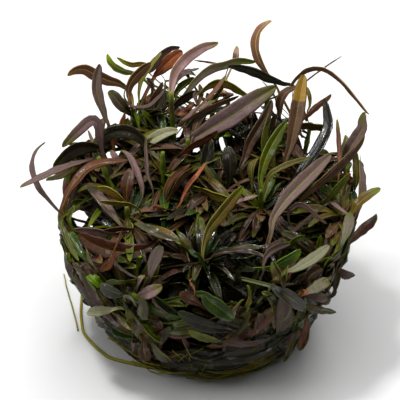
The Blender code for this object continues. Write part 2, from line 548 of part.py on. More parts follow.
def place_seen_leaves(garden, stems):
    """Each seen leaf's owner, path, facing, width and bare share, at the first reach at which it is clear."""
    placed = {}
    for number, (name, entry) in enumerate(SEEN_LEAVES.items()):
        single = name in SINGLE_LEAVES
        best = None
        for shift in SHIFTS:
            points = seen_points(entry, shift)
            if min(point.z for point in points) < LEAST_HEIGHT:
                continue
            width, facing = turned_facing(points, entry[1], 1 if number % 2 else -1)
            for stem, spot in nearest_stems(points[0], (points[1] - points[0]).normalized(), stems):
                start = spot
                if single:
                    start = spot + (points[0] - spot).normalized() * (STEM_RADIUS + 2 * GAP + 0.3)
                near = (points[0] - spot).length < NEAR_STEM
                path = [start, *points[near:]]
                bare = 0.0 if near else bare_share(path, (points[0] - start).length)
                if min(point.z for point in leaf_line(path)) < LEAST_HEIGHT:
                    continue
                owner = "leaf_" + name if single else "shoot_" + stem
                if garden.clear(owner, path, facing, width, bare):
                    best = (owner, path, facing, width, bare)
                    break
            if best:
                break
        if best:
            garden.add(best[0], blade(*best[1:]))
            placed[name] = best
    return placed


def grown_line(spot, heading, rise, droop, length):
    """A leaf that rises from its stem and arches over, and that the cup's wall has pressed inwards."""
    points, angle, here = [spot], rise, spot.copy()
    for _ in range(5):
        here = here + (heading * math.cos(angle) + Vector((0, 0, 1)) * math.sin(angle)) * length / 5
        angle -= droop / 5
        around = math.hypot(here.x, here.y)
        limit = wall_radius(here.z) - PRESSED_INSET
        if around > limit:
            here = Vector((here.x * limit / around, here.y * limit / around, here.z))
        points.append(here.copy())
    return points


def hidden(points, depth=HIDDEN_DEPTH):
    """Whether a leaf stays under the leaves seen in the photograph and out of its clear openings."""
    for point in points:
        px, py, reach = pixel_of(point)
        inner_top = INNER_TOP_HEIGHT + INNER_TOP_SLOPE * max(point.y, 0.0)
        if point.z > inner_top or point.z < LEAST_HEIGHT:
            return False
        if form_reach(px, py) - reach < depth:
            return False
        if any(math.hypot(px - x, py - y) < half + 6 for x, y, half in CLEAR_SIGHTS):
            return False
    return True


def pressed_line(turn, height, lean, length):
    """A leaf that lies along the cup's wall."""
    points = []
    for step in range(4):
        walked = length * step / 3
        here = height + math.cos(lean) * walked
        radius = wall_radius(here) - PRESSED_INSET
        angle = turn + math.sin(lean) * walked / radius
        points.append(Vector((radius * math.cos(angle), radius * math.sin(angle), here)))
    return points


def place_pressed_leaves(garden, stems):
    """Leaves pressed flat around the clump, wherever they are clear of what is there."""
    chance = random.Random(SEED)
    placed = []
    for _ in range(PRESSED_TRIES):
        turn, lean = chance.uniform(0, 2 * math.pi), chance.uniform(*PRESSED_LEANS)
        height, length = chance.uniform(*PRESSED_HEIGHTS), chance.uniform(*PRESSED_LENGTHS)
        width = chance.uniform(*PRESSED_WIDTHS)
        points = pressed_line(turn, height, lean, length)
        if len(placed) == PRESSED_MOST or not hidden(points):
            continue
        facing = Vector((points[1].x, points[1].y, 0)).normalized()
        for stem, spot in nearest_stems(points[0], (points[1] - points[0]).normalized(), stems):
            path = [spot, *points]
            leaf = ("shoot_" + stem, path, facing, width, bare_share(path, (points[0] - spot).length))
            if min(point.z for point in leaf_line(leaf[1])) > LEAST_HEIGHT and garden.clear(*leaf):
                garden.add(leaf[0], blade(*leaf[1:]))
                placed.append(leaf)
                break
    return placed


def place_grown_leaves(garden, stems):
    """Pairs of leaves at each stem's nodes, each pair a quarter turn from the one below it."""
    chance = random.Random(SEED)
    placed = []
    for name, line in stems.items():
        spots = smooth_line(line, 40)
        height, node = LOWEST_NODE, chance.randint(0, 1)
        while height < spots[-1].z:
            spot = min(spots, key=lambda point: abs(point.z - height))
            outward = math.atan2(spot.y, spot.x)
            for side in (0, math.pi):
                for _ in range(GROWN_TRIES):
                    angle = outward + side + node * math.pi / 2 + chance.uniform(-0.7, 0.7)
                    heading = Vector((math.cos(angle), math.sin(angle), 0))
                    rise, droop = chance.uniform(0.5, 1.35), chance.uniform(0.4, 1.9)
                    length, width = chance.uniform(*GROWN_LENGTHS), chance.uniform(*GROWN_WIDTHS)
                    points = grown_line(spot, heading, rise, droop, length)
                    if not hidden(points[2:]):
                        continue
                    facing = Vector((0, 0, math.cos(rise - droop / 2))) - heading * math.sin(rise - droop / 2)
                    leaf = ("shoot_" + name, points, facing, width, GROWN_BARE)
                    if garden.clear(*leaf):
                        garden.add(leaf[0], blade(*leaf[1:]))
                        placed.append(leaf)
                        break
            height += NODE_SPACING
            node += 1
    return placed


def material(tint):
    """A leaf's or root's own finish: satin and a little wet."""
    finish = bpy.data.materials.get(tint) or bpy.data.materials.new(tint)
    finish.use_nodes = True
    surface = finish.node_tree.nodes["Principled BSDF"]
    surface.inputs["Base Color"].default_value = (*TINTS[tint], 1)
    surface.inputs["Roughness"].default_value = 0.6 if tint in ("root", "mat") else 0.35
    surface.inputs["Metallic"].default_value = 0.0
    return finish


def add_piece(name, shape, tint, home):
    """A named object in metres with its own finish."""
    bmesh.ops.transform(shape, matrix=Matrix.Scale(METRES, 4), verts=shape.verts)
    mesh = bpy.data.meshes.new(name)
    shape.to_mesh(mesh)
    shape.free()
    mesh.materials.append(material(tint))
    piece = bpy.data.objects.new(name, mesh)
    home.objects.link(piece)
    return piece


def closed_body(mesh):
    """Weld a mesh's corners that all but meet, and say whether it is one closed body."""
    shape = bmesh.new()
    shape.from_mesh(mesh)
    bmesh.ops.remove_doubles(shape, verts=shape.verts, dist=WELD * METRES)
    bmesh.ops.dissolve_degenerate(shape, edges=shape.edges, dist=WELD * METRES)
    shape.to_mesh(mesh)
    bmesh.ops.triangulate(shape, faces=shape.faces)
    closed = (all(edge.is_manifold and edge.is_contiguous for edge in shape.edges)
              and all(corner.is_manifold for corner in shape.verts))
    reached, waiting = set(), shape.verts[:1]
    while waiting:
        corner = waiting.pop()
        if corner not in reached:
            reached.add(corner)
            waiting.extend(edge.other_vert(corner) for edge in corner.link_edges)
    whole = len(reached) == len(shape.verts) > 0
    shape.free()
    return closed and whole


def fuse(body, part):
    """Grow one piece onto another with a Boolean union, moved by a hair where the two meet too evenly."""
    union = body.modifiers.new("grow", "BOOLEAN")
    union.operation = "UNION"
    union.solver = "EXACT"
    union.object = part
    for nudge in NUDGES:
        part.location.z = nudge * METRES
        bpy.context.view_layer.update()
        fused = bpy.data.meshes.new_from_object(body.evaluated_get(bpy.context.evaluated_depsgraph_get()))
        if closed_body(fused):
            body.data = fused
            break
    body.modifiers.clear()
    bpy.data.objects.remove(part)


def loose_root(name, pixels, home):
    """A root that lies on the surface, as a tube through points read from a smooth curve."""
    points = [floor_point(px, py, ROOT_RADIUS + 0.05) for px, py in pixels]
    curve = bpy.data.curves.new(name, "CURVE")
    curve.dimensions = "3D"
    curve.bevel_depth = ROOT_RADIUS * METRES
    curve.bevel_resolution = 1
    curve.use_fill_caps = True
    spline = curve.splines.new("POLY")
    line = smooth_line(points, ROOT_POINTS)
    spline.points.add(len(line) - 1)
    for place, point in zip(spline.points, line):
        place.co = (*(point * METRES), 1)
    curve.materials.append(material("root"))
    home.objects.link(bpy.data.objects.new(name, curve))


def main():
    for old in list(bpy.data.objects):
        bpy.data.objects.remove(old)
    home = bpy.data.collections.new("hygrophila")
    bpy.context.scene.collection.children.link(home)
    add_piece("root_mat", root_mat(), "mat", home)
    for name, pixels in LOOSE_ROOTS.items():
        loose_root("root_strand_" + name, pixels, home)
    garden = Garden()
    garden.add("root_mat", root_mat())
    stems = stem_lines()
    shoots = {}
    for name, line in stems.items():
        garden.add("shoot_" + name, stem_prism(line, STEM_RADIUS))
        shoots["shoot_" + name] = add_piece("shoot_" + name, stem_prism(line, STEM_RADIUS), "shoot", home)
    seen = place_seen_leaves(garden, stems)
    grown = place_pressed_leaves(garden, stems) + place_grown_leaves(garden, stems)
    for name, (owner, *shape) in seen.items():
        if owner in shoots:
            fuse(shoots[owner], add_piece("part", blade(*shape), "shoot", home))
        else:
            add_piece(owner, blade(*shape), SEEN_LEAVES[name][0], home)
    for owner, *shape in grown:
        fuse(shoots[owner], add_piece("part", blade(*shape), "shoot", home))


main()
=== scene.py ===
import math
import random
from functools import cache

import bmesh
import bpy
import numpy as np
from mathutils import Matrix, Vector, noise
from mathutils.bvhtree import BVHTree


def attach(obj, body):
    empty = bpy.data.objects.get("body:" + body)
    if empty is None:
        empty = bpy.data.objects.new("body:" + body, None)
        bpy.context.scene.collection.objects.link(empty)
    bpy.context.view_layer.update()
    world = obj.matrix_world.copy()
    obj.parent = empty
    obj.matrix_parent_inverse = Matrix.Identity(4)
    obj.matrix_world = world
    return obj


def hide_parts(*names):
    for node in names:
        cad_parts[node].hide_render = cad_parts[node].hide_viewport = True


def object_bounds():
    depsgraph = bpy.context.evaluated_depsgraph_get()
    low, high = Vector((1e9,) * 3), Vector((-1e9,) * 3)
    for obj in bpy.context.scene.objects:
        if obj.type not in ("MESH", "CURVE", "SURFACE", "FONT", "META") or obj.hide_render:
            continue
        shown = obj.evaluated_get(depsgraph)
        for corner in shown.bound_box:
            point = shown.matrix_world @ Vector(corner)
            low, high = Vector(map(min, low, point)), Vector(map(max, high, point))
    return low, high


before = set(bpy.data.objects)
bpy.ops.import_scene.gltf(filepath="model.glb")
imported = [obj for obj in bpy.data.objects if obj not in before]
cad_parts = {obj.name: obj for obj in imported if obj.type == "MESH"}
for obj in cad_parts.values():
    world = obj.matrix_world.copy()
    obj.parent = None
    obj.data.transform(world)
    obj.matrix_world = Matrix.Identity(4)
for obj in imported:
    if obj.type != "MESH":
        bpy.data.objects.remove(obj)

CAD_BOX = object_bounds()

# Where the leaves are. Lengths here are in millimetres, and each finished piece is scaled to metres.
METRES = 0.001

# The clump's outer form: a round wall that widens upwards, under a top that is level in front and rises behind
FOOT_RADIUS = 24.5
WALL_RADIUS = 36.0
WALL_FLARE_HEIGHT = 34.0
TOP_HEIGHT = 36.0
TOP_SLOPE = 0.5
INNER_TOP_HEIGHT = 31.0
INNER_TOP_SLOPE = 0.35

# The photograph's line of sight, which places each leaf seen in it
SIGHT_ELEVATION = math.radians(37)
SIGHT_DISTANCE = 500.0
PIXELS_PER_MM = 4.17
PICTURE_MIDDLE = 200.0
AIM = Vector((-1.5, 0.0, 35.0))
RIGHT = Vector((1, 0, 0))
UPWARD = Vector((0, math.sin(SIGHT_ELEVATION), math.cos(SIGHT_ELEVATION)))
TOWARD = Vector((0, -math.cos(SIGHT_ELEVATION), math.sin(SIGHT_ELEVATION)))
NEAREST_REACH = 56
FARTHEST_REACH = -56

# Root mat and loose roots
MAT_HEIGHT = 7.0
MAT_SIDES = 28
MAT_PROFILE = ((0.0, 0.95), (1.2, 1.0), (3.2, 1.05), (5.4, 1.04), (6.6, 0.98), (MAT_HEIGHT, 0.9))
MAT_RADIUS = 22.5
MAT_LUMPS = 0.05
ROOT_RADIUS = 0.45
ROOT_LEAST_RADIUS = 24.6

# Blades and stems
GAP = 0.35
BLADE_KEEL = 0.75
BLADE_OUTLINE = ((0.0, 0.28), (0.15, 0.5), (0.3, 0.82), (0.45, 0.97), (0.6, 1.0), (0.75, 0.92), (0.87, 0.72),
                 (0.95, 0.45), (1.0, 0.08))
STALK_SHARE = 0.28
MOST_BARE = 0.6
GROWN_BARE = 0.08
SLIM_WIDTH = 3.0
SLIM_WIDENING = 1.5
STEM_RADIUS = 0.95
STEM_SIDES = 5
STEM_POINTS = 4
LEAST_POINTS = 4
MOST_POINTS = 7
BEND_PER_POINT = math.radians(95)
LEAST_HEIGHT = 1.2
STEEPEST_REACH = 0.85
BLADE_BOW = 1.2
FREE_SHARE = 0.34
NEAR_STEM = 3.0
BEHIND_FOOT = 3.0
ASIDE_COST = 1.6
CLIMB_COST = 1.5
SHIFTS = (0, 1.5, -1.5, 3, -3, 4.5, -4.5, 6, -6, 8, -8, 10, -10, 12, -12)
SEED = 11

# Each shoot's stem, from its foot on the mat to its top
STEMS = {
    "left_outer": ((-19, -1, 7.4), (-26, -3, 13), (-30, -3, 19), (-33.5, -2, 31.5)),
    "left_back": ((-15, 6, 7.4), (-20, 6, 22), (-22.5, 6, 34), (-26, 8, 42)),
    "left_mid": ((-13, -4, 7.4), (-17, -5, 20), (-19, -4, 36)),
    "left_front": ((-17, -9, 7.4), (-25, -13, 15), (-28, -15, 24)),
    "front_left": ((-11, -14, 7.4), (-16, -22, 13), (-18, -24, 21)),
    "front_centre": ((-2, -10, 7.4), (-2, -14, 16), (-1, -17, 28)),
    "front_mid": ((4, -16, 7.4), (6, -25, 12), (7, -28, 19)),
    "front_right": ((12, -13, 7.4), (16, -19, 12), (17, -21, 21)),
    "right_front": ((17, -8, 7.4), (25, -14, 17), (28, -16, 26)),
    "right_outer": ((19, -1, 7.4), (29, -3, 19), (33, -2, 31)),
    "right_mid": ((10, 0, 7.4), (13, 0, 26), (13, 0, 38)),
    "centre_left": ((-7, 4, 7.4), (-10, 8, 27), (-10.5, 10, 42)),
    "centre": ((3, 4, 7.4), (3, 5, 20), (2, 6, 32)),
    "back_mid": ((-1, 10, 7.4), (-4, 13, 32), (-4.5, 14, 43)),
    "back_left": ((-10, 14, 7.4), (-16, 22, 28), (-18, 26, 43)),
    "back_centre": ((-6, 18, 7.4), (-8, 20, 38), (-8.6, 21, 52)),
    "back_outer": ((2, 19, 7.4), (1, 29, 26), (2, 32, 43)),
    "back_right": ((9, 13, 7.4), (13, 20, 34), (15, 24, 48)),
    "right_back": ((16, 6, 7.4), (23, 9, 28), (27, 12, 42)),
    "far_right": ((13.5, 12.5, 7.4), (23, 23, 25), (26, 25, 40)),
    "far_left": ((-16, 10, 7.4), (-27, 15, 23), (-30, 17, 36)),
}

# Leaves seen in the photograph: tint, seen width in mm, reach in mm past the clump's form at the foot and at
# the tip, and the midline from the tip to the foot in the photograph's 400 by 400 pixels.
SEEN_LEAVES = {
    "hook_left": ("mauve", 1.5, -2, 1, ((45, 142), (37.7, 149), (33, 160), (33, 170), (39, 187), (50, 201),
        (64, 217))),
    "spear_left": ("mauve", 1.8, -3, 0, ((20, 187), (36, 179.5), (51, 172.5), (67, 166), (84, 161),
        (98, 157))),
    "dark_left": ("black", 3.6, -4, 0, ((53, 169), (65, 157), (78, 149), (94, 147.5), (108, 150))),
    "olive_left": ("olive", 1.9, -5, -1, ((46, 180), (60, 177), (80, 165), (96, 160))),
    "arched_left": ("rust", 2.4, -1, 2, ((128, 160), (106, 162), (95, 164.5), (84, 171), (77, 180), (69, 190),
        (64, 203), (64, 216))),
    "green_left": ("green", 1.4, -2, 1, ((78.5, 261), (72, 251.5), (67, 241), (63.5, 229), (62.5, 217))),
    "pointing_left": ("brown", 2.9, -6, 0, ((67.5, 75.5), (75, 70.5), (85, 69.5), (95, 75), (108, 80.5),
        (122, 85), (131, 94))),
    "upright_left": ("taupe", 2.3, -3, 0, ((100, 64), (97, 77), (96.5, 90), (100, 103), (105, 117),
        (108, 130))),
    "top_green": ("green", 1.7, -5, 0, ((107.3, 54), (110, 61.5), (116, 67.5), (124, 71.5), (134, 74),
        (143, 80))),
    "top_thin": ("olive", 0.9, -6, 0, ((117, 57.5), (124, 62), (132, 65), (140, 64), (148, 66), (152, 76))),
    "top_olive": ("olive", 1.4, -4, 0, ((161.5, 52.5), (153, 62), (146, 72), (141, 81), (139, 92),
        (138.5, 104))),
    "top_brown": ("brown", 2, -3, 0, ((151, 63), (141, 71), (132, 81), (128, 92), (131, 106))),
    "loop_mauve": ("mauve", 0.9, -4, 1, ((126, 88), (123.6, 95), (126, 101), (132, 107), (147, 107),
        (154, 102), (165, 90), (169, 80))),
    "rust_short": ("rust", 1.7, -3, 0, ((125, 113), (121, 122), (118, 130), (113, 142))),
    "arch_black": ("black", 3.4, -3, 0, ((98, 145), (107, 135), (120, 131), (134, 134), (145, 145),
        (150, 156))),
    "bent_mauve": ("mauve", 1.8, -4, 0, ((62, 147), (71, 138), (80.5, 129), (89.5, 121), (97, 122), (100, 135),
        (104, 158))),
    "red_upright": ("brown", 2.4, -4, 0, ((106, 117), (101, 130), (100.5, 153))),
    "thin_mauve": ("mauve", 0.8, -3, 0, ((88, 130), (94, 144.5), (104, 158), (110, 168))),
    "fringe_left": ("olive", 1.4, -5, 0, ((68, 144), (80, 145), (92, 150), (102, 158))),
    "pink_mauve": ("mauve", 1.5, -3, 1, ((121, 150), (128.6, 155.5), (134, 166), (139.5, 180), (142, 190),
        (141, 205))),
    "brown_broad": ("rust", 3.2, -4, 0, ((131, 168), (127, 185), (127, 205))),
    "small_mauve": ("mauve", 1.2, -4, 0, ((110.5, 150), (116, 159), (121, 170))),
    "grey_green": ("greygreen", 2.9, -4, 1, ((178, 130), (165, 133), (152, 140), (142, 149), (137, 158))),
    "thin_upright": ("mauve", 0.9, -3, 1, ((146, 137), (145.5, 149), (146.4, 163), (147, 175), (153, 200))),
    "orange_curled": ("orange", 3.4, -4, 0, ((182.5, 51), (176, 55.5), (169, 61.5), (162, 68.5), (157, 74),
        (153, 79))),
    "mauve_arch": ("mauve", 2.6, -4, 1, ((218.6, 43), (208, 45.5), (200, 48.5), (190, 55), (182, 62),
        (176, 70), (172.5, 79), (171, 92), (170, 110))),
    "small_grey": ("mauve", 1.3, -4, 0, ((237, 46), (236, 55), (233.5, 63))),
    "long_arch": ("greygreen", 1.9, -5, 0, ((256, 62), (239, 60), (225, 64), (210, 68), (195.5, 80), (182, 98),
        (174, 110))),
    "blade_black": ("slate", 2.2, -5, 0, ((228, 66), (241, 68), (256, 72.5), (270, 79), (284, 84), (295, 88))),
    "olive_arch": ("olive", 1.8, -4, 0, ((249, 97), (239, 91), (230, 85.5), (219, 82.7), (208, 87),
        (200, 97))),
    "narrow_pair_a": ("brown", 1, -5, 0, ((226, 75), (217, 88), (207, 99), (196, 110))),
    "narrow_pair_b": ("olive", 0.9, -6, 0, ((228, 80), (220, 90), (210, 103), (200, 116))),
    "mauve_low": ("mauve", 1.3, -4, 0, ((216, 100), (199, 108), (189, 115.5), (178, 124))),
    "brown_low": ("brown", 1.1, -3, 0, ((239, 96), (215, 105), (195, 115), (175, 128))),
    "broad_mauve": ("taupe", 5.1, -4, 2, ((276, 86.5), (250, 103), (233, 115), (208, 130), (194, 138),
        (170, 150))),
    "rust_under": ("rust", 1.7, -4, 0, ((218, 131), (203, 140), (190, 147), (176, 158))),
    "tall_hook": ("brown", 1.9, -5, 0, ((271.5, 20.5), (264, 25), (258, 32), (255.5, 42), (256.5, 53),
        (261, 64), (268, 75), (276, 86))),
    "arched_right": ("brown", 1.4, -5, 0, ((368.6, 114.5), (357, 99), (342, 81), (326, 69), (308, 69),
        (293.6, 81), (282, 94))),
    "stick_right": ("brown", 0.5, -4, 0, ((342, 56), (325.5, 67), (305.5, 82), (292, 96))),
    "yellow_tip": ("yellow", 3.7, -4, 1, ((304, 74.5), (301, 88), (298.5, 103), (296.5, 116), (293.5, 131),
        (290, 147), (285, 167))),
    "brown_behind": ("brown", 1.8, -5, 0, ((295.5, 87), (285.5, 93), (281, 101), (280, 110), (282, 122))),
    "orange_right": ("rust", 1.5, -5, 0, ((331.4, 94.5), (325.5, 100), (317, 106), (310, 113), (300, 124))),
    "dark_long": ("slate", 2.5, -3, 1, ((324, 98), (327, 113), (328, 126), (318.6, 147), (304, 167),
        (287, 189), (268.6, 207))),
    "olive_right": ("olive", 2.3, -6, 0, ((333, 128), (320, 127), (303, 126), (290, 132))),
    "narrow_right": ("brown", 1, -3, 0, ((337, 119), (339, 137), (340, 165), (338, 185))),
    "grey_right": ("greygreen", 2.1, -4, 0, ((346, 135), (344.5, 146), (340, 160), (335, 172))),
    "torn_right": ("taupe", 2.4, -4, 0, ((365, 112), (362.5, 119), (363, 127), (357, 137), (349, 149),
        (344, 161))),
    "diagonal_long": ("brown", 2, -2, 1, ((365, 135), (358, 146), (346, 158.5), (330, 173.5), (313, 188),
        (300, 201), (290, 212))),
    "broad_right": ("taupe", 3.8, -4, 2, ((331, 154), (318, 167), (306, 179), (293, 192), (281, 206),
        (272, 222), (269, 240))),
    "green_right": ("green", 1.5, -4, 0, ((349, 174), (334, 191), (327, 199), (314, 206))),
    "pink_stick": ("mauve", 0.8, -4, 0, ((351, 217), (341, 210), (330.5, 203), (318, 203))),
    "pink_arch": ("mauve", 1.1, -3, 1, ((327, 224), (319.5, 218), (308, 207), (299, 204), (291, 209),
        (289, 222))),
    "spear_right": ("olive", 1.9, -4, 0, ((380.5, 188), (372, 193), (362, 200), (355, 208), (347, 222))),
    "spear_low": ("brown", 2.1, -4, 0, ((377, 214.5), (372, 221), (364, 227), (355, 235.5), (344, 248))),
    "pale_right": ("greygreen", 1.9, -3, 0, ((349.5, 212), (348.6, 224.5), (346, 234), (340, 248))),
    "wall_right_a": ("taupe", 2, -3, 0, ((360, 160), (362, 180), (360, 200), (354, 222))),
    "wall_right_b": ("olive", 1.8, -4, 0, ((355, 150), (357, 172), (352, 195))),
    "central_vee": ("olive", 2.7, -3, 2, ((243.6, 186.4), (237, 194), (223, 212), (209, 230), (204, 245),
        (202, 262))),
    "central_long": ("brown", 0.9, -3, 1, ((331, 201), (309.5, 218), (290, 234.5), (271, 245.5), (241, 251),
        (213, 254.5), (202, 262))),
    "central_short": ("darkgreen", 1, -3, 1, ((189, 249), (195, 255), (202, 262))),
    "pink_small": ("mauve", 1.2, -5, 0, ((258, 195.5), (241, 201), (228, 206))),
    "yellow_green": ("green", 2.9, -3, 1, ((286.5, 121), (278.5, 134), (270.5, 148), (264.5, 162),
        (260.5, 178), (259, 194))),
    "olive_curved": ("olive", 1.2, -3, 1, ((310, 158.5), (296, 162), (278, 170), (268.6, 178), (260, 192))),
    "green_tipped": ("brown", 2.4, -4, 1, ((272, 100), (266.5, 115), (258.5, 129), (250.5, 142), (245, 158),
        (243, 178))),
    "red_pair_a": ("rust", 1.8, -4, 0, ((190.5, 164), (179, 173.6), (172.7, 180), (167, 189), (163, 203))),
    "red_pair_b": ("brown", 1.5, -3, 1, ((193, 168), (182, 177), (175, 187), (168, 200))),
    "pink_narrow": ("orange", 1.2, -4, 1, ((206.4, 162.7), (195.5, 178), (189, 185.5), (183.6, 195.5),
        (176, 209))),
    "olive_centre": ("olive", 2, -6, -1, ((232, 200), (215, 196), (200, 190), (188, 187))),
    "orange_olive": ("olive", 1.8, -4, 0, ((97, 188.6), (107, 190), (117, 196), (127, 206))),
    "mauve_slope": ("taupe", 2.3, -4, 0, ((87, 185.5), (96, 194), (104, 203), (112, 214), (124, 228))),
    "olive_flat": ("olive", 1.2, -4, 1, ((99.5, 201), (122, 203), (131, 204.5), (141, 213))),
    "rusty_big": ("rust", 4.6, -3, 2, ((79, 233.5), (88, 241), (98, 246.5), (110, 250.5), (125, 252.5),
        (140, 251), (152, 245), (160, 238))),
    "mauve_over": ("mauve", 1.5, -4, 1, ((72, 230), (86, 230), (99.5, 232), (110, 235), (122, 233),
        (133, 228))),
    "olive_low": ("olive", 1.8, -5, 0, ((134.5, 223), (148, 229), (158.6, 234.5), (170.5, 239), (183, 243))),
    "spoon_mauve": ("taupe", 2.9, -4, 1, ((161, 245.5), (156.5, 256), (152, 268), (148, 282))),
    "hanging_centre": ("olive", 2.4, -4, 1, ((189, 280), (186, 262), (180, 245), (178, 232))),
    "low_left_mauve": ("brown", 2.5, -4, 0, ((72.5, 265), (82, 267), (92, 268), (102, 267.5), (114, 262))),
    "low_left_olive": ("brown", 2.1, -4, 1, ((138, 279.5), (128, 273.5), (118, 266), (109, 258))),
    "low_left_rust": ("rust", 1.6, -3, 0, ((101, 272), (104.5, 267), (110, 261))),
    "bright_left": ("bright", 1.8, -4, 0, ((88, 275), (96, 281), (105, 289))),
    "wet_left": ("slate", 3.3, -3, 0, ((100, 285), (107, 289.5), (115, 293), (126, 297))),
    "round_left": ("greygreen", 2, -4, 1, ((87, 312), (98, 311.5), (108, 311), (120, 308))),
    "spoon_low": ("mauve", 2.8, -3, 1, ((162, 286), (154, 290.5), (145, 294), (137, 298))),
    "rust_low": ("rust", 2.9, -4, 1, ((168.5, 315), (163, 311), (157, 305.5), (150, 299))),
    "bright_low": ("green", 2.1, -4, 0, ((139, 296), (143, 306), (146, 319))),
    "taupe_low": ("taupe", 1.9, -4, 0, ((172, 327), (162, 325.5), (150, 321), (140, 317))),
    "dark_low": ("green", 2.2, -4, 0, ((161, 341), (150.5, 332), (142, 323))),
    "grey_low": ("greygreen", 2.5, -3, 0, ((171, 362), (160, 353), (151, 342))),
    "brown_low_left": ("brown", 2.8, -3, 0, ((147, 361), (144, 351), (143, 338))),
    "green_low_left": ("darkgreen", 3.1, -4, 0, ((112, 328), (123, 332.5), (138, 337))),
    "wall_left": ("slate", 2.2, -3, 0, ((95, 316), (102, 322.5), (113, 329))),
    "broad_green": ("darkgreen", 3.9, -4, 1, ((233, 320), (222, 310), (210, 301.5), (196, 294.5))),
    "olive_front": ("olive", 3.1, -4, 1, ((249, 311), (242, 321), (234.5, 330), (225, 343))),
    "green_front": ("darkgreen", 2.3, -4, 1, ((248, 285), (250, 296), (248, 309))),
    "grey_front": ("greygreen", 1.3, -3, 1, ((243, 299), (236, 308), (230, 318))),
    "dark_front": ("slate", 3.1, -4, 0, ((178, 312), (196, 322), (214, 328), (232, 330))),
    "edge_front": ("green", 1.8, -3, 0, ((189, 331), (205.5, 337), (222, 341))),
    "taupe_front": ("taupe", 2.4, -3, 0, ((181, 333), (186, 345.5), (197, 357))),
    "band_front": ("mauve", 1.4, -3, 1, ((222, 341), (240, 343), (260, 341), (274, 334))),
    "wall_front": ("slate", 4.2, -3, 0, ((194, 361), (215, 357), (240, 355), (262, 350), (282, 338))),
    "silver_right": ("slate", 3.3, -3, 1, ((305, 309.5), (297, 303), (287, 296), (275, 289), (264, 284))),
    "bright_right": ("green", 1.4, -4, 1, ((305.5, 236), (296, 240), (283, 247))),
    "pale_low_right": ("greygreen", 2.1, -4, 1, ((329, 245), (321, 252.5), (311, 260), (301, 266), (291, 271),
        (281, 276))),
    "glossy_right": ("darkgreen", 2.3, -5, 0, ((301, 250), (291, 257.5), (279, 264), (267, 268))),
    "folded_right": ("olive", 2, -4, 0, ((272.5, 261), (275, 268), (279, 275.5), (282, 284))),
    "tipped_right": ("olive", 2.3, -4, 1, ((335.5, 313), (325, 311), (314, 309), (303, 303), (292, 297))),
    "mauve_orange": ("mauve", 2.2, -3, 1, ((329, 281), (320, 285.5), (311, 290), (302, 294))),
    "torn_low": ("brown", 2.4, -3, 0, ((352, 277.5), (346, 274), (337, 269))),
    "wall_low_right": ("greygreen", 1.9, -3, 0, ((341, 270), (336, 283), (329, 298))),
    "hanging_right": ("brown", 1.7, -2, 1, ((299, 350), (305.5, 337), (308, 325), (307, 314))),
    "stub_right": ("olive", 1.2, -2, 0, ((284, 362), (290, 345), (298, 328))),
    "curl_pale": ("greygreen", 1.5, -3, 1, ((262, 292), (270, 297), (274, 306), (273, 318), (275, 328))),
    "rim_mauve": ("mauve", 1.5, -6, -2, ((180, 47.5), (170, 49.5), (160, 57), (153, 68), (146, 82))),
    "crumpled_left": ("black", 2.9, -5, -2, ((108.5, 91), (114, 96), (119, 103), (125, 109), (133, 113))),
    "thin_top": ("brown", 0.7, -6, -1, ((194, 60.3), (205, 61.5), (216, 63.5), (228, 68))),
    "green_bud": ("bright", 1.4, -6, -2, ((199, 68.5), (193, 69.5), (187, 74))),
    "wet_black_left": ("black", 3, -6, -1, ((210.5, 138), (208, 152), (205, 166), (203, 180))),
    "wet_black_right": ("black", 3.6, -5, 0, ((227, 146), (229.5, 158), (230, 170), (228, 184))),
    "grey_mid": ("greygreen", 1.4, -4, 0, ((134, 330), (126, 326), (121, 318), (111, 311))),
}

# The leaves that stand out, each a piece of its own
SINGLE_LEAVES = ("hook_left", "spear_left", "arched_left", "pointing_left", "upright_left", "grey_green",
                 "orange_curled", "mauve_arch", "long_arch", "blade_black", "broad_mauve", "tall_hook",
                 "arched_right", "yellow_tip", "dark_long", "diagonal_long", "broad_right", "spear_right",
                 "spear_low", "central_vee", "central_long", "yellow_green", "rusty_big", "broad_green",
                 "wall_front", "tipped_right")

# Openings that the photograph shows light through: middle and half-width in pixels
CLEAR_SIGHTS = ((80, 218, 8), (114, 154, 6), (178, 134, 5), (197, 149, 5), (224, 142, 7), (212, 115, 5),
                (311, 142, 10), (306, 136, 8))

# Leaves grown by rule fill the rest of each shoot
NODE_SPACING = 5.0
LOWEST_NODE = 10.0
GROWN_LENGTHS = (13.0, 24.0)
GROWN_WIDTHS = (3.2, 5.2)
GROWN_TRIES = 6
HIDDEN_DEPTH = 2.0

# Leaves that the cup's wall pressed flat
PRESSED_TRIES = 700
PRESSED_MOST = 75
PRESSED_HEIGHTS = (2.5, 24.0)
PRESSED_LENGTHS = (12.0, 21.0)
PRESSED_LEANS = (-1.3, 1.3)
PRESSED_WIDTHS = (3.6, 5.4)
PRESSED_INSET = 0.8

# Loose roots, from the mat to the free end, as pixels where they lie on the surface
LOOSE_ROOTS = {
    "long": ((158, 367), (135, 364), (112, 358), (100, 350.5), (90, 341), (83.5, 331), (81.5, 318), (81, 303),
             (83, 289), (86, 276)),
    "straight": ((78, 330), (75.5, 318), (72, 306), (68.5, 294), (66, 284), (64, 273)),
    "front": ((262, 368), (238, 375), (210, 378.5), (186, 377)),
}


def sight_point(px, py, reach):
    """The point that lies on a pixel's line of sight, reach mm nearer to the viewer than the aim."""
    spread = (SIGHT_DISTANCE - reach) / (SIGHT_DISTANCE * PIXELS_PER_MM)
    aside = RIGHT * (px - PICTURE_MIDDLE) + UPWARD * (PICTURE_MIDDLE - py)
    return AIM + TOWARD * reach + aside * spread


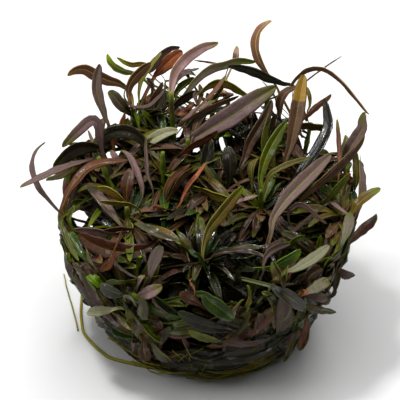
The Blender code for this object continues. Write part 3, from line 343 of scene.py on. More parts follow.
def pixel_of(point):
    """The pixel at which a point is seen, and its reach."""
    offset = point - AIM
    reach = offset.dot(TOWARD)
    scale = SIGHT_DISTANCE * PIXELS_PER_MM / (SIGHT_DISTANCE - reach)
    return PICTURE_MIDDLE + offset.dot(RIGHT) * scale, PICTURE_MIDDLE - offset.dot(UPWARD) * scale, reach


def wall_radius(height):
    """The wall's radius, which grows with height."""
    share = min(max(height / WALL_FLARE_HEIGHT, 0.0), 1.0)
    return FOOT_RADIUS + (WALL_RADIUS - FOOT_RADIUS) * math.sin(share * math.pi / 2)


def outside_by(point):
    """How far a point lies outside the clump's outer form."""
    past_wall = math.hypot(point.x, point.y) - wall_radius(point.z)
    return max(past_wall, point.z - TOP_HEIGHT - TOP_SLOPE * max(point.y, 0.0), -point.z)


def ring_point(radius, angle, height):
    """The point at a radius, an angle and a height round the clump's axis."""
    return Vector((radius * math.cos(angle), radius * math.sin(angle), height))


def level_heading(angle):
    """The level direction at an angle."""
    return Vector((math.cos(angle), math.sin(angle), 0))


def form_reach(px, py):
    """The reach at which a line of sight meets the clump's form, or else passes closest to it."""
    best = None
    for reach in range(NEAREST_REACH, FARTHEST_REACH, -1):
        outside = outside_by(sight_point(px, py, reach))
        if outside <= 0:
            return reach
        if best is None or outside < best[0]:
            best = (outside, reach)
    return best[1]


def floor_point(px, py, height):
    """The point at a given height on a pixel's line of sight, kept outside the mat."""
    near, far = sight_point(px, py, NEAREST_REACH), sight_point(px, py, FARTHEST_REACH)
    point = near.lerp(far, (near.z - height) / (near.z - far.z))
    push = max(1.0, ROOT_LEAST_RADIUS / math.hypot(point.x, point.y))
    return Vector((point.x * push, point.y * push, height))


def smooth_line(points, count):
    """Evenly spaced points on a smooth curve through the given ones."""
    ends = [points[0] * 2 - points[1], *points, points[-1] * 2 - points[-2]]
    fine = []
    for a, b, c, d in zip(ends, ends[1:], ends[2:], ends[3:]):
        for step in range(8):
            t = step / 8
            fine.append((b * 2 + (c - a) * t + (a * 2 - b * 5 + c * 4 - d) * t * t
                         + (b * 3 - a - c * 3 + d) * t ** 3) / 2)
    fine.append(points[-1])
    lengths = [0.0]
    for a, b in zip(fine, fine[1:]):
        lengths.append(lengths[-1] + (b - a).length)
    line, spot = [], 0
    for index in range(count):
        wanted = lengths[-1] * index / (count - 1)
        while spot < len(fine) - 2 and lengths[spot + 1] < wanted:
            spot += 1
        share = (wanted - lengths[spot]) / max(lengths[spot + 1] - lengths[spot], 1e-9)
        line.append(fine[spot].lerp(fine[spot + 1], min(share, 1.0)))
    return line


def leaf_line(points):
    """A leaf's midline, with more points the more it bends."""
    fine = smooth_line(points, 12)
    bend = sum((b - a).angle(c - b) for a, b, c in zip(fine, fine[1:], fine[2:]))
    return smooth_line(points, min(LEAST_POINTS + round(bend / BEND_PER_POINT), MOST_POINTS))


def frames_along(line, facing):
    """The direction along a line and the crosswise one at each point, twisting as little as possible."""
    last = len(line) - 1
    along = [(line[min(i + 1, last)] - line[max(i - 1, 0)]).normalized() for i in range(last + 1)]
    across = [None] * (last + 1)
    middle = last // 2
    across[middle] = along[middle].cross(facing).normalized()
    for i in [*range(middle + 1, last + 1), *range(middle - 1, -1, -1)]:
        before = across[i - 1] if i > middle else across[i + 1]
        across[i] = (before - along[i] * before.dot(along[i])).normalized()
    return along, across


def bend_prism(line, facing, sides, place):
    """A prism cut at each point of a line and bent along it. place(index, x, y) turns a corner of the plain
    prism into its offsets across the line and above it."""
    last = len(line) - 1
    along, across = frames_along(line, facing)
    prism = bmesh.new()
    bmesh.ops.create_cone(prism, cap_ends=True, segments=sides, radius1=1, radius2=1, depth=1)
    for cut in range(1, last):
        everything = prism.verts[:] + prism.edges[:] + prism.faces[:]
        bmesh.ops.bisect_plane(prism, geom=everything, plane_co=(0, 0, cut / last - 0.5), plane_no=(0, 0, 1))
    for corner in prism.verts:
        index = round((corner.co.z + 0.5) * last)
        sideways, above = place(index, corner.co.x, corner.co.y)
        corner.co = line[index] + across[index] * sideways + across[index].cross(along[index]) * above
    return prism


def outline_at(share, outline):
    """The height of an outline given as points, at a share of its length."""
    for (x0, y0), (x1, y1) in zip(outline, outline[1:]):
        if share <= x1:
            return y0 + (y1 - y0) * (share - x0) / (x1 - x0)
    return outline[-1][1]


def bare_share(path, stalk):
    """The share of a leaf's path that its bare stalk takes."""
    return min(stalk / sum((b - a).length for a, b in zip(path, path[1:])), MOST_BARE)


def blade(path, facing, width, bare, room=0.0, skipped=0.0):
    """A lance-shaped blade with a keel under its midline, along a path that its bare stalk begins. Room makes
    it larger all round, and a share of its length can be skipped at its foot."""
    line = leaf_line(path)
    first = round(skipped * (len(line) - 1))
    line = line[first:]
    last = len(line) - 1

    def place(index, x, y):
        share = ((index + first) / (last + first) - bare) / (1 - bare)
        full = outline_at(share, BLADE_OUTLINE) if share > 0 else STALK_SHARE
        depth = (y + 0.5) / 1.5
        half = full * width / 2 + room * 1.6
        keel = BLADE_KEEL * (0.35 + 0.65 * full)
        return x / 0.866 * half, room - depth * (keel + room * 2)

    return bend_prism(line, facing, 3, place)


def stem_prism(line, radius):
    """A tapering stem whose foot is cut level with the mat."""
    last = len(line) - 1

    def place(index, x, y):
        thick = radius * (1.1 - 0.35 * index / last)
        return x * thick, -y * thick

    stem = bend_prism(line, Vector((0.3, 1, 0.1)), STEM_SIDES, place)
    for corner in stem.verts:
        if (corner.co - line[0]).length < 2 * radius:
            corner.co.z = line[0].z
    return stem


def root_mat():
    """The disc of matted roots, with a flat underside and a lumpy rim."""
    line = [Vector((0, 0, height)) for height, _ in MAT_PROFILE]

    def place(index, x, y):
        height, full = MAT_PROFILE[index]
        lump = noise.noise(Vector((x * 2.3, y * 2.3, height * 0.4)))
        radius = MAT_RADIUS * full * (1 + MAT_LUMPS * lump)
        return x * radius, -y * radius

    return bend_prism(line, Vector((0, 1, 0)), MAT_SIDES, place)


class Garden:
    """All that has been placed so far, with each piece's owner, so that new leaves keep clear of it."""

    def __init__(self):
        self.pieces = []

    def add(self, owner, mesh):
        corners = [vertex.co for vertex in mesh.verts]
        low = [min(corner[i] for corner in corners) for i in range(3)]
        high = [max(corner[i] for corner in corners) for i in range(3)]
        self.pieces.append((owner, BVHTree.FromBMesh(mesh), low, high))

    def clear(self, owner, path, facing, width, bare):
        """Whether a leaf on this path misses other owners' pieces, and past its foot its own owner's too."""
        whole = blade(path, facing, width, bare, GAP)
        free = blade(path, facing, width, bare, GAP, FREE_SHARE)
        low = [min(vertex.co[i] for vertex in whole.verts) for i in range(3)]
        high = [max(vertex.co[i] for vertex in whole.verts) for i in range(3)]
        whole_tree, free_tree = BVHTree.FromBMesh(whole), BVHTree.FromBMesh(free)
        for piece_owner, tree, piece_low, piece_high in self.pieces:
            if any(low[i] > piece_high[i] or high[i] < piece_low[i] for i in range(3)):
                continue
            if (free_tree if piece_owner == owner else whole_tree).overlap(tree):
                return False
        return True


def stem_lines():
    """Each shoot's stem as a few points."""
    return {name: smooth_line([Vector(point) for point in points], STEM_POINTS)
            for name, points in STEMS.items()}


def nearest_stems(foot, heading, stems):
    """The points on the three stems that a leaf's foot most easily joins: near, behind its heading and out
    of the viewer's sight."""
    choices = []
    for name, line in stems.items():
        spots = smooth_line(line, 25)
        best = min(((spot - foot).length * (ASIDE_COST + (spot - foot).normalized().dot(heading))
                    + max(0.0, spot.z - foot.z) * CLIMB_COST
                    + max(0.0, (spot - foot).dot(TOWARD) + BEHIND_FOOT), index)
                   for index, spot in enumerate(spots[2:-1]))
        choices.append((best[0], name, spots[best[1] + 2]))
    return [(name, spot) for _, name, spot in sorted(choices, key=lambda choice: choice[0])[:3]]


def stems_near(points, stems):
    """The stems that a leaf with these points most easily joins."""
    return nearest_stems(points[0], (points[1] - points[0]).normalized(), stems)


def outward_facing(points):
    """The level direction away from the clump's axis at a leaf's second point."""
    return Vector((points[1].x, points[1].y, 0)).normalized()


def arched_facing(heading, rise, droop):
    """The way the blade of an arching leaf faces at its middle."""
    return Vector((0, 0, math.cos(rise - droop / 2))) - heading * math.sin(rise - droop / 2)


def lowest(points):
    """The height of the lowest of some points."""
    return min(point.z for point in points)


def seen_points(entry, shift):
    """The midline of a leaf seen in the photograph, from its foot to its tip."""
    _, _, foot_reach, tip_reach, picture = entry
    picture = picture[::-1]
    walked = [0.0]
    for (x0, y0), (x1, y1) in zip(picture, picture[1:]):
        walked.append(walked[-1] + math.hypot(x1 - x0, y1 - y0))
    foot = form_reach(*picture[0]) + foot_reach + shift
    tip = form_reach(*picture[-1]) + tip_reach + shift
    most = STEEPEST_REACH * walked[-1] / PIXELS_PER_MM
    tip = foot + max(-most, min(most, tip - foot))
    points = []
    for (px, py), distance in zip(picture, walked):
        share = distance / walked[-1]
        bow = BLADE_BOW * math.sin(math.pi * share)
        points.append(sight_point(px, py, foot + (tip - foot) * share + bow))
    return points


def turned_facing(points, seen_width, turn_sign):
    """A leaf's real width, and the way its blade faces: one seen slim is a wider blade turned aside."""
    width = max(seen_width, min(SLIM_WIDTH, seen_width * SLIM_WIDENING))
    turn = math.acos(min(seen_width / width, 1.0))
    middle = len(points) // 2
    axis = (points[middle] - points[middle - 1]).normalized()
    return width, Matrix.Rotation(turn * turn_sign, 3, axis) @ TOWARD


def place_seen_leaves(garden, stems):
    """Each seen leaf's owner, path, facing, width and bare share, at the first reach at which it is clear."""
    placed = {}
    for number, (name, entry) in enumerate(SEEN_LEAVES.items()):
        single = name in SINGLE_LEAVES
        best = None
        for shift in SHIFTS:
            points = seen_points(entry, shift)
            if lowest(points) < LEAST_HEIGHT:
                continue
            width, facing = turned_facing(points, entry[1], 1 if number % 2 else -1)
            for stem, spot in stems_near(points, stems):
                start = spot
                if single:
                    start = spot + (points[0] - spot).normalized() * (STEM_RADIUS + 2 * GAP + 0.3)
                near = (points[0] - spot).length < NEAR_STEM
                path = [start, *points[near:]]
                bare = 0.0 if near else bare_share(path, (points[0] - start).length)
                if lowest(leaf_line(path)) < LEAST_HEIGHT:
                    continue
                owner = "leaf_" + name if single else "shoot_" + stem
                if garden.clear(owner, path, facing, width, bare):
                    best = (owner, path, facing, width, bare)
                    break
            if best:
                break
        if best:
            garden.add(best[0], blade(*best[1:]))
            placed[name] = best
    return placed


def grown_line(spot, heading, rise, droop, length):
    """A leaf that rises from its stem and arches over, and that the cup's wall has pressed inwards."""
    points, angle, here = [spot], rise, spot.copy()
    for _ in range(5):
        here = here + (heading * math.cos(angle) + Vector((0, 0, 1)) * math.sin(angle)) * length / 5
        angle -= droop / 5
        around = math.hypot(here.x, here.y)
        limit = wall_radius(here.z) - PRESSED_INSET
        if around > limit:
            here = Vector((here.x * limit / around, here.y * limit / around, here.z))
        points.append(here.copy())
    return points


def hidden(points, depth=HIDDEN_DEPTH):
    """Whether a leaf stays under the leaves seen in the photograph and out of its clear openings."""
    for point in points:
        px, py, reach = pixel_of(point)
        inner_top = INNER_TOP_HEIGHT + INNER_TOP_SLOPE * max(point.y, 0.0)
        if point.z > inner_top or point.z < LEAST_HEIGHT:
            return False
        if form_reach(px, py) - reach < depth:
            return False
        if any(math.hypot(px - x, py - y) < half + 6 for x, y, half in CLEAR_SIGHTS):
            return False
    return True


def pressed_line(turn, height, lean, length):
    """A leaf that lies along the cup's wall."""
    points = []
    for step in range(4):
        walked = length * step / 3
        here = height + math.cos(lean) * walked
        radius = wall_radius(here) - PRESSED_INSET
        angle = turn + math.sin(lean) * walked / radius
        points.append(ring_point(radius, angle, here))
    return points


def place_pressed_leaves(garden, stems):
    """Leaves pressed flat around the clump, wherever they are clear of what is there."""
    chance = random.Random(SEED)
    placed = []
    for _ in range(PRESSED_TRIES):
        turn, lean = chance.uniform(0, 2 * math.pi), chance.uniform(*PRESSED_LEANS)
        height, length = chance.uniform(*PRESSED_HEIGHTS), chance.uniform(*PRESSED_LENGTHS)
        width = chance.uniform(*PRESSED_WIDTHS)
        points = pressed_line(turn, height, lean, length)
        if len(placed) == PRESSED_MOST or not hidden(points):
            continue
        facing = outward_facing(points)
        for stem, spot in stems_near(points, stems):
            path = [spot, *points]
            leaf = ("shoot_" + stem, path, facing, width, bare_share(path, (points[0] - spot).length))
            if lowest(leaf_line(leaf[1])) > LEAST_HEIGHT and garden.clear(*leaf):
                garden.add(leaf[0], blade(*leaf[1:]))
                placed.append(leaf)
                break
    return placed


def place_grown_leaves(garden, stems):
    """Pairs of leaves at each stem's nodes, each pair a quarter turn from the one below it."""
    chance = random.Random(SEED)
    placed = []
    for name, line in stems.items():
        spots = smooth_line(line, 40)
        height, node = LOWEST_NODE, chance.randint(0, 1)
        while height < spots[-1].z:
            spot = min(spots, key=lambda point: abs(point.z - height))
            outward = math.atan2(spot.y, spot.x)
            for side in (0, math.pi):
                for _ in range(GROWN_TRIES):
                    angle = outward + side + node * math.pi / 2 + chance.uniform(-0.7, 0.7)
                    heading = level_heading(angle)
                    rise, droop = chance.uniform(0.5, 1.35), chance.uniform(0.4, 1.9)
                    length, width = chance.uniform(*GROWN_LENGTHS), chance.uniform(*GROWN_WIDTHS)
                    points = grown_line(spot, heading, rise, droop, length)
                    if not hidden(points[2:]):
                        continue
                    facing = arched_facing(heading, rise, droop)
                    leaf = ("shoot_" + name, points, facing, width, GROWN_BARE)
                    if garden.clear(*leaf):
                        garden.add(leaf[0], blade(*leaf[1:]))
                        placed.append(leaf)
                        break
            height += NODE_SPACING
            node += 1
    return placed


# Fine blades
FINE_ROWS = 26
FINE_COLUMNS = 8
PLAIN_ROWS = 10
PLAIN_COLUMNS = 4
STALK_ROWS_SHARE = 0.16
FOOT_WIDTH = 0.26
WIDEST_AT = 0.56
BLADE_THICKNESS = 0.06
BLADE_GROOVE = 0.045
BLADE_RIPPLE = 0.04
BLADE_FOLDS = (0.1, 0.45)
PATH_POINTS = 40
LEAST_BARE = 0.04
FLOOR_CLEARANCE = 0.15
SEEN_TWIST = 0.2
FREE_TWIST = 0.8

# Fine stems, buds and the small leaves between the larger ones
FINE_STEM_POINTS = 36
FINE_STEM_RADIUS = 0.75
KNOT_SPACING = 5.0
KNOT_SWELL = 0.38
UNDER_TRIES = 32
UNDER_LENGTHS = (8.0, 19.0)
UNDER_WIDTHS = (2.2, 4.4)
UNDER_DEPTH = 4.0
WALL_LEAVES = 360
WALL_HEIGHTS = (1.5, 27.0)
WALL_LENGTHS = (13.0, 25.0)
WALL_WIDTHS = (2.2, 4.4)
MOST_INSET = 3.0
FOOT_INSET = 1.5
SKIRT_LEAVES = 110
SKIRT_HEIGHTS = (2.2, 7.0)
SKIRT_LEANS = (1.2, 1.5)
SKIRT_RADIUS = 24.3
BUD_LENGTHS = (3.0, 6.0)
BUD_WIDTH = 1.3
FILLER_TRIES = 7500
FILLER_LENGTHS = (8.0, 19.0)
FILLER_WIDTHS = (1.1, 2.8)
FILLER_DEPTH = 1.5
LEAF_MARGIN = 5

# The upper edge of the dense foliage in the photograph, as pixels
SKYLINE = ((20, 262), (58, 236), (66, 190), (67, 152), (73, 144), (83, 137), (97, 141), (106, 132),
           (118, 129), (127, 116), (134, 106), (140, 100), (150, 93), (162, 92), (172, 98), (187, 113),
           (205, 106), (224, 106), (246, 106), (262, 113), (281, 112), (292, 122), (300, 150), (322, 152),
           (340, 150), (352, 170), (361, 206), (355, 252), (390, 330))

# Smaller leaves and scraps that the photograph shows between the larger leaves, written like those
EXTRA_LEAVES = {
    "loop_red": ("brown", 1.1, -5, -3, ((146, 78), (152, 82), (153.5, 88), (152, 95), (148, 101))),
    "loop_right": ("brown", 1.3, -4, -1, ((163, 82), (160, 88), (156, 94), (151, 101), (147, 107))),
    "loop_scrap": ("rust", 1.3, -5, -4, ((150, 97), (146, 101), (144, 106))),
    "spike_thin": ("olive", 0.5, -4, -3, ((160.5, 74), (165, 80), (168, 88))),
    "arch_dusky": ("mauve", 1.4, -5, -3, ((196, 75.5), (190, 72.5), (184, 73), (178, 78), (174, 86))),
    "green_pair_a": ("green", 1.5, -5, -4, ((195, 78), (186, 82), (178, 88), (173, 98))),
    "green_pair_b": ("olive", 1.2, -5, -4, ((190, 80), (182, 87), (176, 95), (173, 104))),
    "dark_under_arch": ("black", 1.8, -5, -4, ((198, 92), (190, 95), (182, 99.5), (175, 106), (171, 116))),
    "bent_a": ("brown", 1, -5, -4, ((199, 84), (201.5, 92), (200.5, 99), (197, 107))),
    "bent_b": ("taupe", 1, -5, -4, ((198, 91.5), (194.5, 96), (196, 101), (199, 106))),
    "orange_bit": ("rust", 1, -6, -5, ((194, 102), (191, 106), (188.5, 111))),
    "arch_bud": ("bright", 1, -6, -5, ((219.5, 82), (215.5, 81.5), (214, 84))),
    "yellow_bit": ("yellow", 1.2, -6, -5, ((223, 90), (228, 93), (233, 95))),
    "red_bit": ("rust", 0.7, -6, -5, ((214, 97.5), (220, 95), (227, 96.5))),
    "rust_band": ("rust", 1.4, -6, -6, ((190, 113), (181, 113), (173, 114))),
    "slate_mid": ("slate", 2.4, -5, -4, ((207, 111), (198, 118), (190, 126), (184, 134))),
    "black_mid": ("black", 1.4, -6, -5, ((229, 110), (218, 109.5), (208, 113), (198, 120))),
    "upright_a": ("black", 2.4, -6, -6, ((166, 91), (161, 99), (157, 109), (156, 122))),
    "upright_b": ("black", 1.8, -6, -6, ((165, 93), (164, 104), (163, 118))),
    "upright_c": ("slate", 1.2, -5, -5, ((157, 110), (159, 121), (161, 132))),
    "green_mass_a": ("green", 1.6, -6, -6, ((140, 108), (143, 117), (146, 130))),
    "green_mass_b": ("bright", 1, -5, -5, ((131, 108), (137, 117), (142, 131))),
    "dark_mass": ("black", 2.4, -7, -7, ((150, 103), (151, 115), (152, 131))),
    "tipped_b": ("green", 1.5, -4, 0, ((270, 113), (267, 122), (264, 134), (262, 147), (259, 162))),
    "small_olive": ("olive", 1.4, -4, -1, ((258, 158), (252.5, 164), (251, 173), (252, 184))),
    "thin_a": ("olive", 0.6, -6, -6, ((262, 81), (270, 90), (276, 100), (280, 113))),
    "thin_b": ("olive", 0.5, -5, -5, ((277, 89), (281, 97), (282, 108))),
    "black_cross": ("black", 1.2, -6, -5, ((261, 106), (270, 112), (281, 121))),
    "sliver_right": ("olive", 0.8, -5, -4, ((307, 87), (310, 97), (310, 106), (307, 113))),
    "orange_line": ("orange", 0.5, -3, -1, ((283, 152), (285, 158), (289, 162))),
    "bright_bit": ("bright", 1, -4, -3, ((231, 135.5), (225, 134), (220, 136))),
    "pale_edge": ("mauve", 0.6, -3, 0, ((279, 142), (274, 154), (269, 165), (266, 174))),
    "yellow_bud": ("yellow", 1.4, -5, -4, ((251, 129), (251, 124), (250, 118))),
    "black_speck": ("black", 2, -5, -4, ((240, 122), (244, 132), (249, 143))),
    "black_thin": ("black", 1.4, -5, -4, ((252, 112), (257, 123), (262, 134))),
    "fine_line": ("slate", 0.3, -4, -3, ((361, 154), (360.5, 161), (360, 168))),
    "rust_right": ("rust", 1.4, -3, -2, ((354, 181), (349, 179), (345, 175))),
    "green_bit_right": ("green", 1.3, -4, -3, ((351, 162), (346, 168), (343, 177))),
    "green_bridge": ("green", 1.3, -3, -1, ((71, 203), (79, 201.5), (88, 203))),
    "dark_slope": ("black", 4.2, -6, -4, ((85, 203), (96, 212), (108, 222), (119, 232))),
    "node_stub": ("green", 1.5, -3, -1, ((73, 206), (71.5, 214), (70.5, 224))),
    "inner_green": ("darkgreen", 2.6, -4, -2, ((69, 232), (74, 242), (80, 252), (87, 261))),
    "edge_bright": ("bright", 0.8, -3, -1, ((68.5, 252), (69, 260), (73, 267))),
    "grey_edge": ("greygreen", 0.8, -3, -1, ((85, 246), (88, 253), (90, 261))),
    "rust_strip": ("brown", 1.4, -3, -1, ((100, 232), (110, 229.5), (120, 228), (133, 229))),
    "bright_left_b": ("bright", 1, -3, -1, ((86, 276), (90, 284), (96, 291))),
    "knot_a": ("olive", 1, -4, -2, ((97, 290), (103, 299), (109, 306))),
    "knot_b": ("green", 0.9, -4, -2, ((86, 290), (93, 298), (101, 305))),
    "knot_c": ("brown", 2.2, -6, -4, ((90, 296), (95, 303), (100, 309))),
    "white_curl": ("greygreen", 1.1, -2, 0, ((137, 307), (134, 301), (130, 296.5), (124, 297))),
    "green_node": ("green", 1.9, -4, -2, ((142, 301), (143.5, 309), (146, 318))),
    "green_stalk": ("green", 1, -4, -2, ((132, 293), (138, 299), (146, 303))),
    "red_curl": ("rust", 3, -3, 0, ((180, 292), (184, 296), (190, 298))),
    "orange_stick": ("orange", 0.7, -2, 1, ((193, 300), (195, 293), (194, 286), (190, 281))),
    "orange_scrap": ("orange", 1.4, -4, -2, ((153, 209), (158, 207), (166, 211))),
    "tan_bud": ("yellow", 1.2, -4, -2, ((197, 216), (199, 211), (200, 205))),
    "rust_patch": ("rust", 2, -6, -5, ((184, 158), (190, 158), (195, 160))),
    "red_bud": ("rust", 2, -3, -1, ((163, 364), (158, 361), (154, 358))),
    "tan_curl": ("taupe", 1.3, -3, -1, ((144, 275), (141, 278), (139, 283))),
    "bright_scrap": ("bright", 0.9, -2, 0, ((144, 255), (141, 258), (139, 260))),
    "green_edge": ("green", 1, -5, -3, ((105, 283), (114, 281.5), (128, 281))),
    "brown_small": ("brown", 1.6, -3, -1, ((132, 349), (134, 345), (137, 341))),
    "brown_round": ("brown", 3.2, -5, -4, ((322, 268), (312, 274), (303, 284))),
    "curved_tan": ("taupe", 1.2, -3, 0, ((291, 243), (278, 247), (268, 253), (263, 262), (262, 276))),
    "stalk_pale": ("green", 0.8, -3, 0, ((288, 265), (287, 272), (286, 281))),
    "green_right_low": ("green", 1.5, -4, -2, ((340, 249), (332, 256), (325, 265))),
    "taupe_wide": ("taupe", 2.8, -5, -3, ((329, 296), (322, 300), (311, 300))),
    "pale_bit": ("greygreen", 1.3, -3, -2, ((309, 327), (308, 321), (307, 315))),
    "green_low_mid": ("green", 1.4, -4, -2, ((283, 327), (292, 319), (300, 313))),
    "loop_thin": ("greygreen", 0.4, -2, 0, ((277, 322), (286, 319), (290, 310), (289, 301))),
    "orange_end": ("orange", 1.3, -1, 1, ((307, 290.5), (304, 292.5), (301.5, 294))),
    "grey_scrap": ("greygreen", 2.2, -1, 0, ((329, 281.5), (322, 283), (314, 287.5), (306, 292))),
    "grey_scrap_b": ("taupe", 2.4, -2, -1, ((326, 297), (319, 298), (311, 297), (303, 297))),
}

# How much lighter or darker some leaves are than others of their tint: partly their own colour and partly
# painted light, with painted sheen or highlight on the shiny and top leaves and painted shade on the low and
# deep ones
TONES_AND_PAINTED_LIGHT = {
    "mauve_arch": 3.6, "small_grey": 3.2, "mauve_orange": 2.8, "mauve_over": 1.8, "pink_arch": 1.4,
    "hook_left": 0.7, "spear_left": 0.7, "loop_mauve": 0.5, "bent_mauve": 0.7, "thin_upright": 0.7,
    "mauve_low": 0.8, "rim_mauve": 0.7, "pink_stick": 0.7, "pointing_left": 3.2, "tall_hook": 3.2,
    "arched_right": 2.6, "thin_top": 2.2, "top_brown": 2.3, "top_green": 3.2, "top_olive": 1.8, "top_thin": 2.4,
    "fringe_left": 2, "olive_arch": 2, "olive_left": 0.4, "olive_flat": 2.2, "olive_centre": 1.8,
    "orange_olive": 2.2, "olive_low": 0.4, "hanging_centre": 0.5, "olive_front": 0.7, "folded_right": 0.4,
    "tipped_right": 0.5, "arched_left": 0.9, "rust_short": 2.4, "brown_broad": 0.5, "red_pair_a": 0.45,
    "rusty_big": 0.5, "rust_low": 0.3, "low_left_rust": 1.1, "orange_right": 2.4, "green_left": 0.6,
    "bright_low": 0.5, "dark_low": 1.6, "narrow_right": 1.6, "diagonal_long": 1.4, "central_long": 0.25,
    "green_tipped": 0.5, "low_left_mauve": 0.8, "low_left_olive": 0.3, "brown_low": 1.8, "brown_low_left": 1.4,
    "torn_low": 0.7, "hanging_right": 1.6, "broad_mauve": 0.85, "broad_right": 1.15, "wall_right_a": 1.4,
    "spoon_mauve": 0.35, "taupe_low": 2, "taupe_front": 1.8, "grey_green": 1.6, "long_arch": 2.4,
    "grey_right": 1.7, "pale_right": 0.6, "round_left": 1.8, "grey_front": 1.4, "wall_low_right": 1.6,
    "curl_pale": 2, "grey_mid": 2.4, "dark_long": 0.35, "wet_left": 1.7, "wall_left": 1.3, "wall_front": 1.4,
    "silver_right": 3.2, "blade_black": 1.4, "yellow_tip": 0.7, "central_short": 0.5, "green_low_left": 1.5,
    "glossy_right": 2.2, "green_bud": 0.6, "wet_black_right": 0.5, "crumpled_left": 1.6, "arch_dusky": 0.5,
    "red_curl": 0.6, "rust_patch": 0.8, "red_bud": 0.6, "brown_round": 0.5, "tan_bud": 0.6, "dark_slope": 0.8,
    "taupe_wide": 0.7, "curved_tan": 0.8, "grey_scrap": 2.2, "band_front": 0.6, "bent_a": 1.4, "bent_b": 1.2,
    "loop_red": 1.3,
}

# Fine roots
MAT_ROOTS = 230
MAT_ROOT_RADII = (0.1, 0.3)
SEEN_ROOT_RADIUS = 0.09
SEEN_ROOT_POINTS = 14
RIM_ROOTS = 28
RIM_POINTS = 24
RIM_ROOT_RADIUS = 0.32
RIM_RINGS = (24.6, 26.0)
RIM_HEIGHTS = (0.6, 2.6)
RIM_SWEEPS = (0.6, 1.8)
ROOT_LIFT = 0.05
LOOSE_ROOT_POINTS = 48
LOOSE_ROOT_RADII = {"long": 0.42, "straight": 0.22, "front": 0.28}

# Roots that the photograph shows between the low leaves, as pixels
SEEN_ROOTS = (
    ((115, 335), (122, 343), (130, 351), (140, 360), (150, 366)),
    ((112, 338), (119, 346), (127, 354), (138, 363)),
    ((107, 343), (115, 343), (121, 342), (129, 346)),
    ((118, 318), (124, 322), (131, 316), (138, 321), (141, 313)),
    ((121, 312), (127, 319), (122, 326), (130, 330)),
    ((133, 325), (126, 321), (119, 325)),
    ((172, 350), (183, 360), (190, 370)),
    ((189, 357), (192, 366), (188, 372)),
    ((207, 361), (203, 370), (198, 379)),
    ((176, 364), (185, 356), (196, 352), (205, 347)),
    ((160, 352), (170, 357), (181, 354), (190, 361)),
)

# Each kind of leaf surface: the colours of body, blush, rib, margin and tip, and the roughness
SKINS = {
    "mauve": ((0.1299, 0.0738, 0.0754), (0.1758, 0.1019, 0.1092), (0.135, 0.115, 0.035), (0.1, 0.075, 0.025),
              (0.1, 0.09, 0.02), 0.34),
    "taupe": ((0.0848, 0.0522, 0.0474), (0.1187, 0.0712, 0.0717), (0.13, 0.13, 0.024), (0.075, 0.05, 0.018),
              (0.086, 0.08, 0.02), 0.36),
    "rust": ((0.066, 0.0167, 0.008), (0.1188, 0.0323, 0.0149), (0.17, 0.13, 0.018), (0.075, 0.028, 0.008),
             (0.11, 0.04, 0.012), 0.24),
    "brown": ((0.047, 0.0184, 0.0124), (0.112, 0.0418, 0.0307), (0.14, 0.125, 0.024), (0.085, 0.055, 0.014),
              (0.09, 0.065, 0.014), 0.22),
    "olive": ((0.0448, 0.0335, 0.0057), (0.0806, 0.0432, 0.008), (0.14, 0.15, 0.016), (0.1, 0.105, 0.007),
              (0.09, 0.105, 0.006), 0.24),
    "green": ((0.036, 0.05, 0.002), (0.06, 0.06, 0.002), (0.14, 0.17, 0.01), (0.095, 0.12, 0.003),
              (0.095, 0.125, 0.003), 0.24),
    "darkgreen": ((0.01, 0.0216, 0.0052), (0.019, 0.0346, 0.0052), (0.09, 0.14, 0.012), (0.042, 0.075, 0.005),
                  (0.042, 0.075, 0.005), 0.15),
    "bright": ((0.055, 0.1, 0.002), (0.085, 0.12, 0.002), (0.15, 0.21, 0.01), (0.1, 0.15, 0.002),
               (0.105, 0.15, 0.002), 0.26),
    "black": ((0.0108, 0.0083, 0.006), (0.024, 0.0143, 0.009), (0.04, 0.04, 0.008), (0.036, 0.038, 0.004),
              (0.038, 0.042, 0.004), 0.13),
    "slate": ((0.0192, 0.0176, 0.0182), (0.036, 0.0275, 0.0238), (0.06, 0.07, 0.018), (0.026, 0.03, 0.008),
              (0.036, 0.044, 0.008), 0.15),
    "greygreen": ((0.1102, 0.105, 0.0672), (0.1537, 0.1208, 0.0896), (0.16, 0.18, 0.044), (0.088, 0.088, 0.02),
                  (0.1, 0.125, 0.014), 0.32),
    "yellow": ((0.074, 0.034, 0.018), (0.1, 0.048, 0.026), (0.16, 0.12, 0.03), (0.08, 0.04, 0.015),
               (0.3, 0.17, 0.018), 0.32),
    "orange": ((0.1932, 0.0473, 0.021), (0.2668, 0.1155, 0.045), (0.33, 0.15, 0.03), (0.09, 0.03, 0.02),
               (0.15, 0.05, 0.025), 0.24),
}

# Where a tip's colour begins and ends along a leaf, if not gradually
SHARP_TIPS = {"yellow": (0.66, 0.675)}

# A leaf rougher than this is half dry, and has only so much film of water on it
DRY_ROUGHNESS, DRY_FILM = 0.3, 0.4

# The underside of each kind of leaf, and the kinds that each group of small leaves takes
REVERSES = {"mauve": "green", "taupe": "olive", "rust": "taupe", "brown": "taupe", "olive": "mauve",
            "green": "greygreen", "darkgreen": "olive", "bright": "greygreen", "black": "taupe",
            "slate": "greygreen", "greygreen": "olive", "yellow": "olive", "orange": "mauve"}
UPPER_TINTS = ("olive", "olive", "brown", "brown", "green", "black", "black", "brown", "brown", "olive",
               "darkgreen")
WALL_TINTS = ("black", "black", "olive", "olive", "brown", "darkgreen", "darkgreen", "taupe", "green",
              "brown")
SKIRT_TINTS = ("black", "black", "darkgreen", "olive", "brown")
# The deep leaves take mostly dark kinds: partly their own colour, partly painted shade
DEEP_TINTS_WITH_SHADE = ("black", "black", "darkgreen", "olive", "brown", "black")
BUD_TINTS = ("bright", "green", "olive")

# How much lighter or darker small leaves are: by chance, their own tone; by depth and in the dark hollows seen
# as pixels, painted shade
FREE_TONES = (0.6, 1.25)
PAINTED_SHADE_DEPTH = 9.0
DEEPEST_PAINTED_SHADE = 0.2
SHADED_HOLLOWS = ((238, 266, 30), (218, 292, 16), (262, 290, 16), (222, 238, 14), (198, 262, 14),
                (246, 318, 12))
HOLLOW_PAINTED_SHADE = 0.35

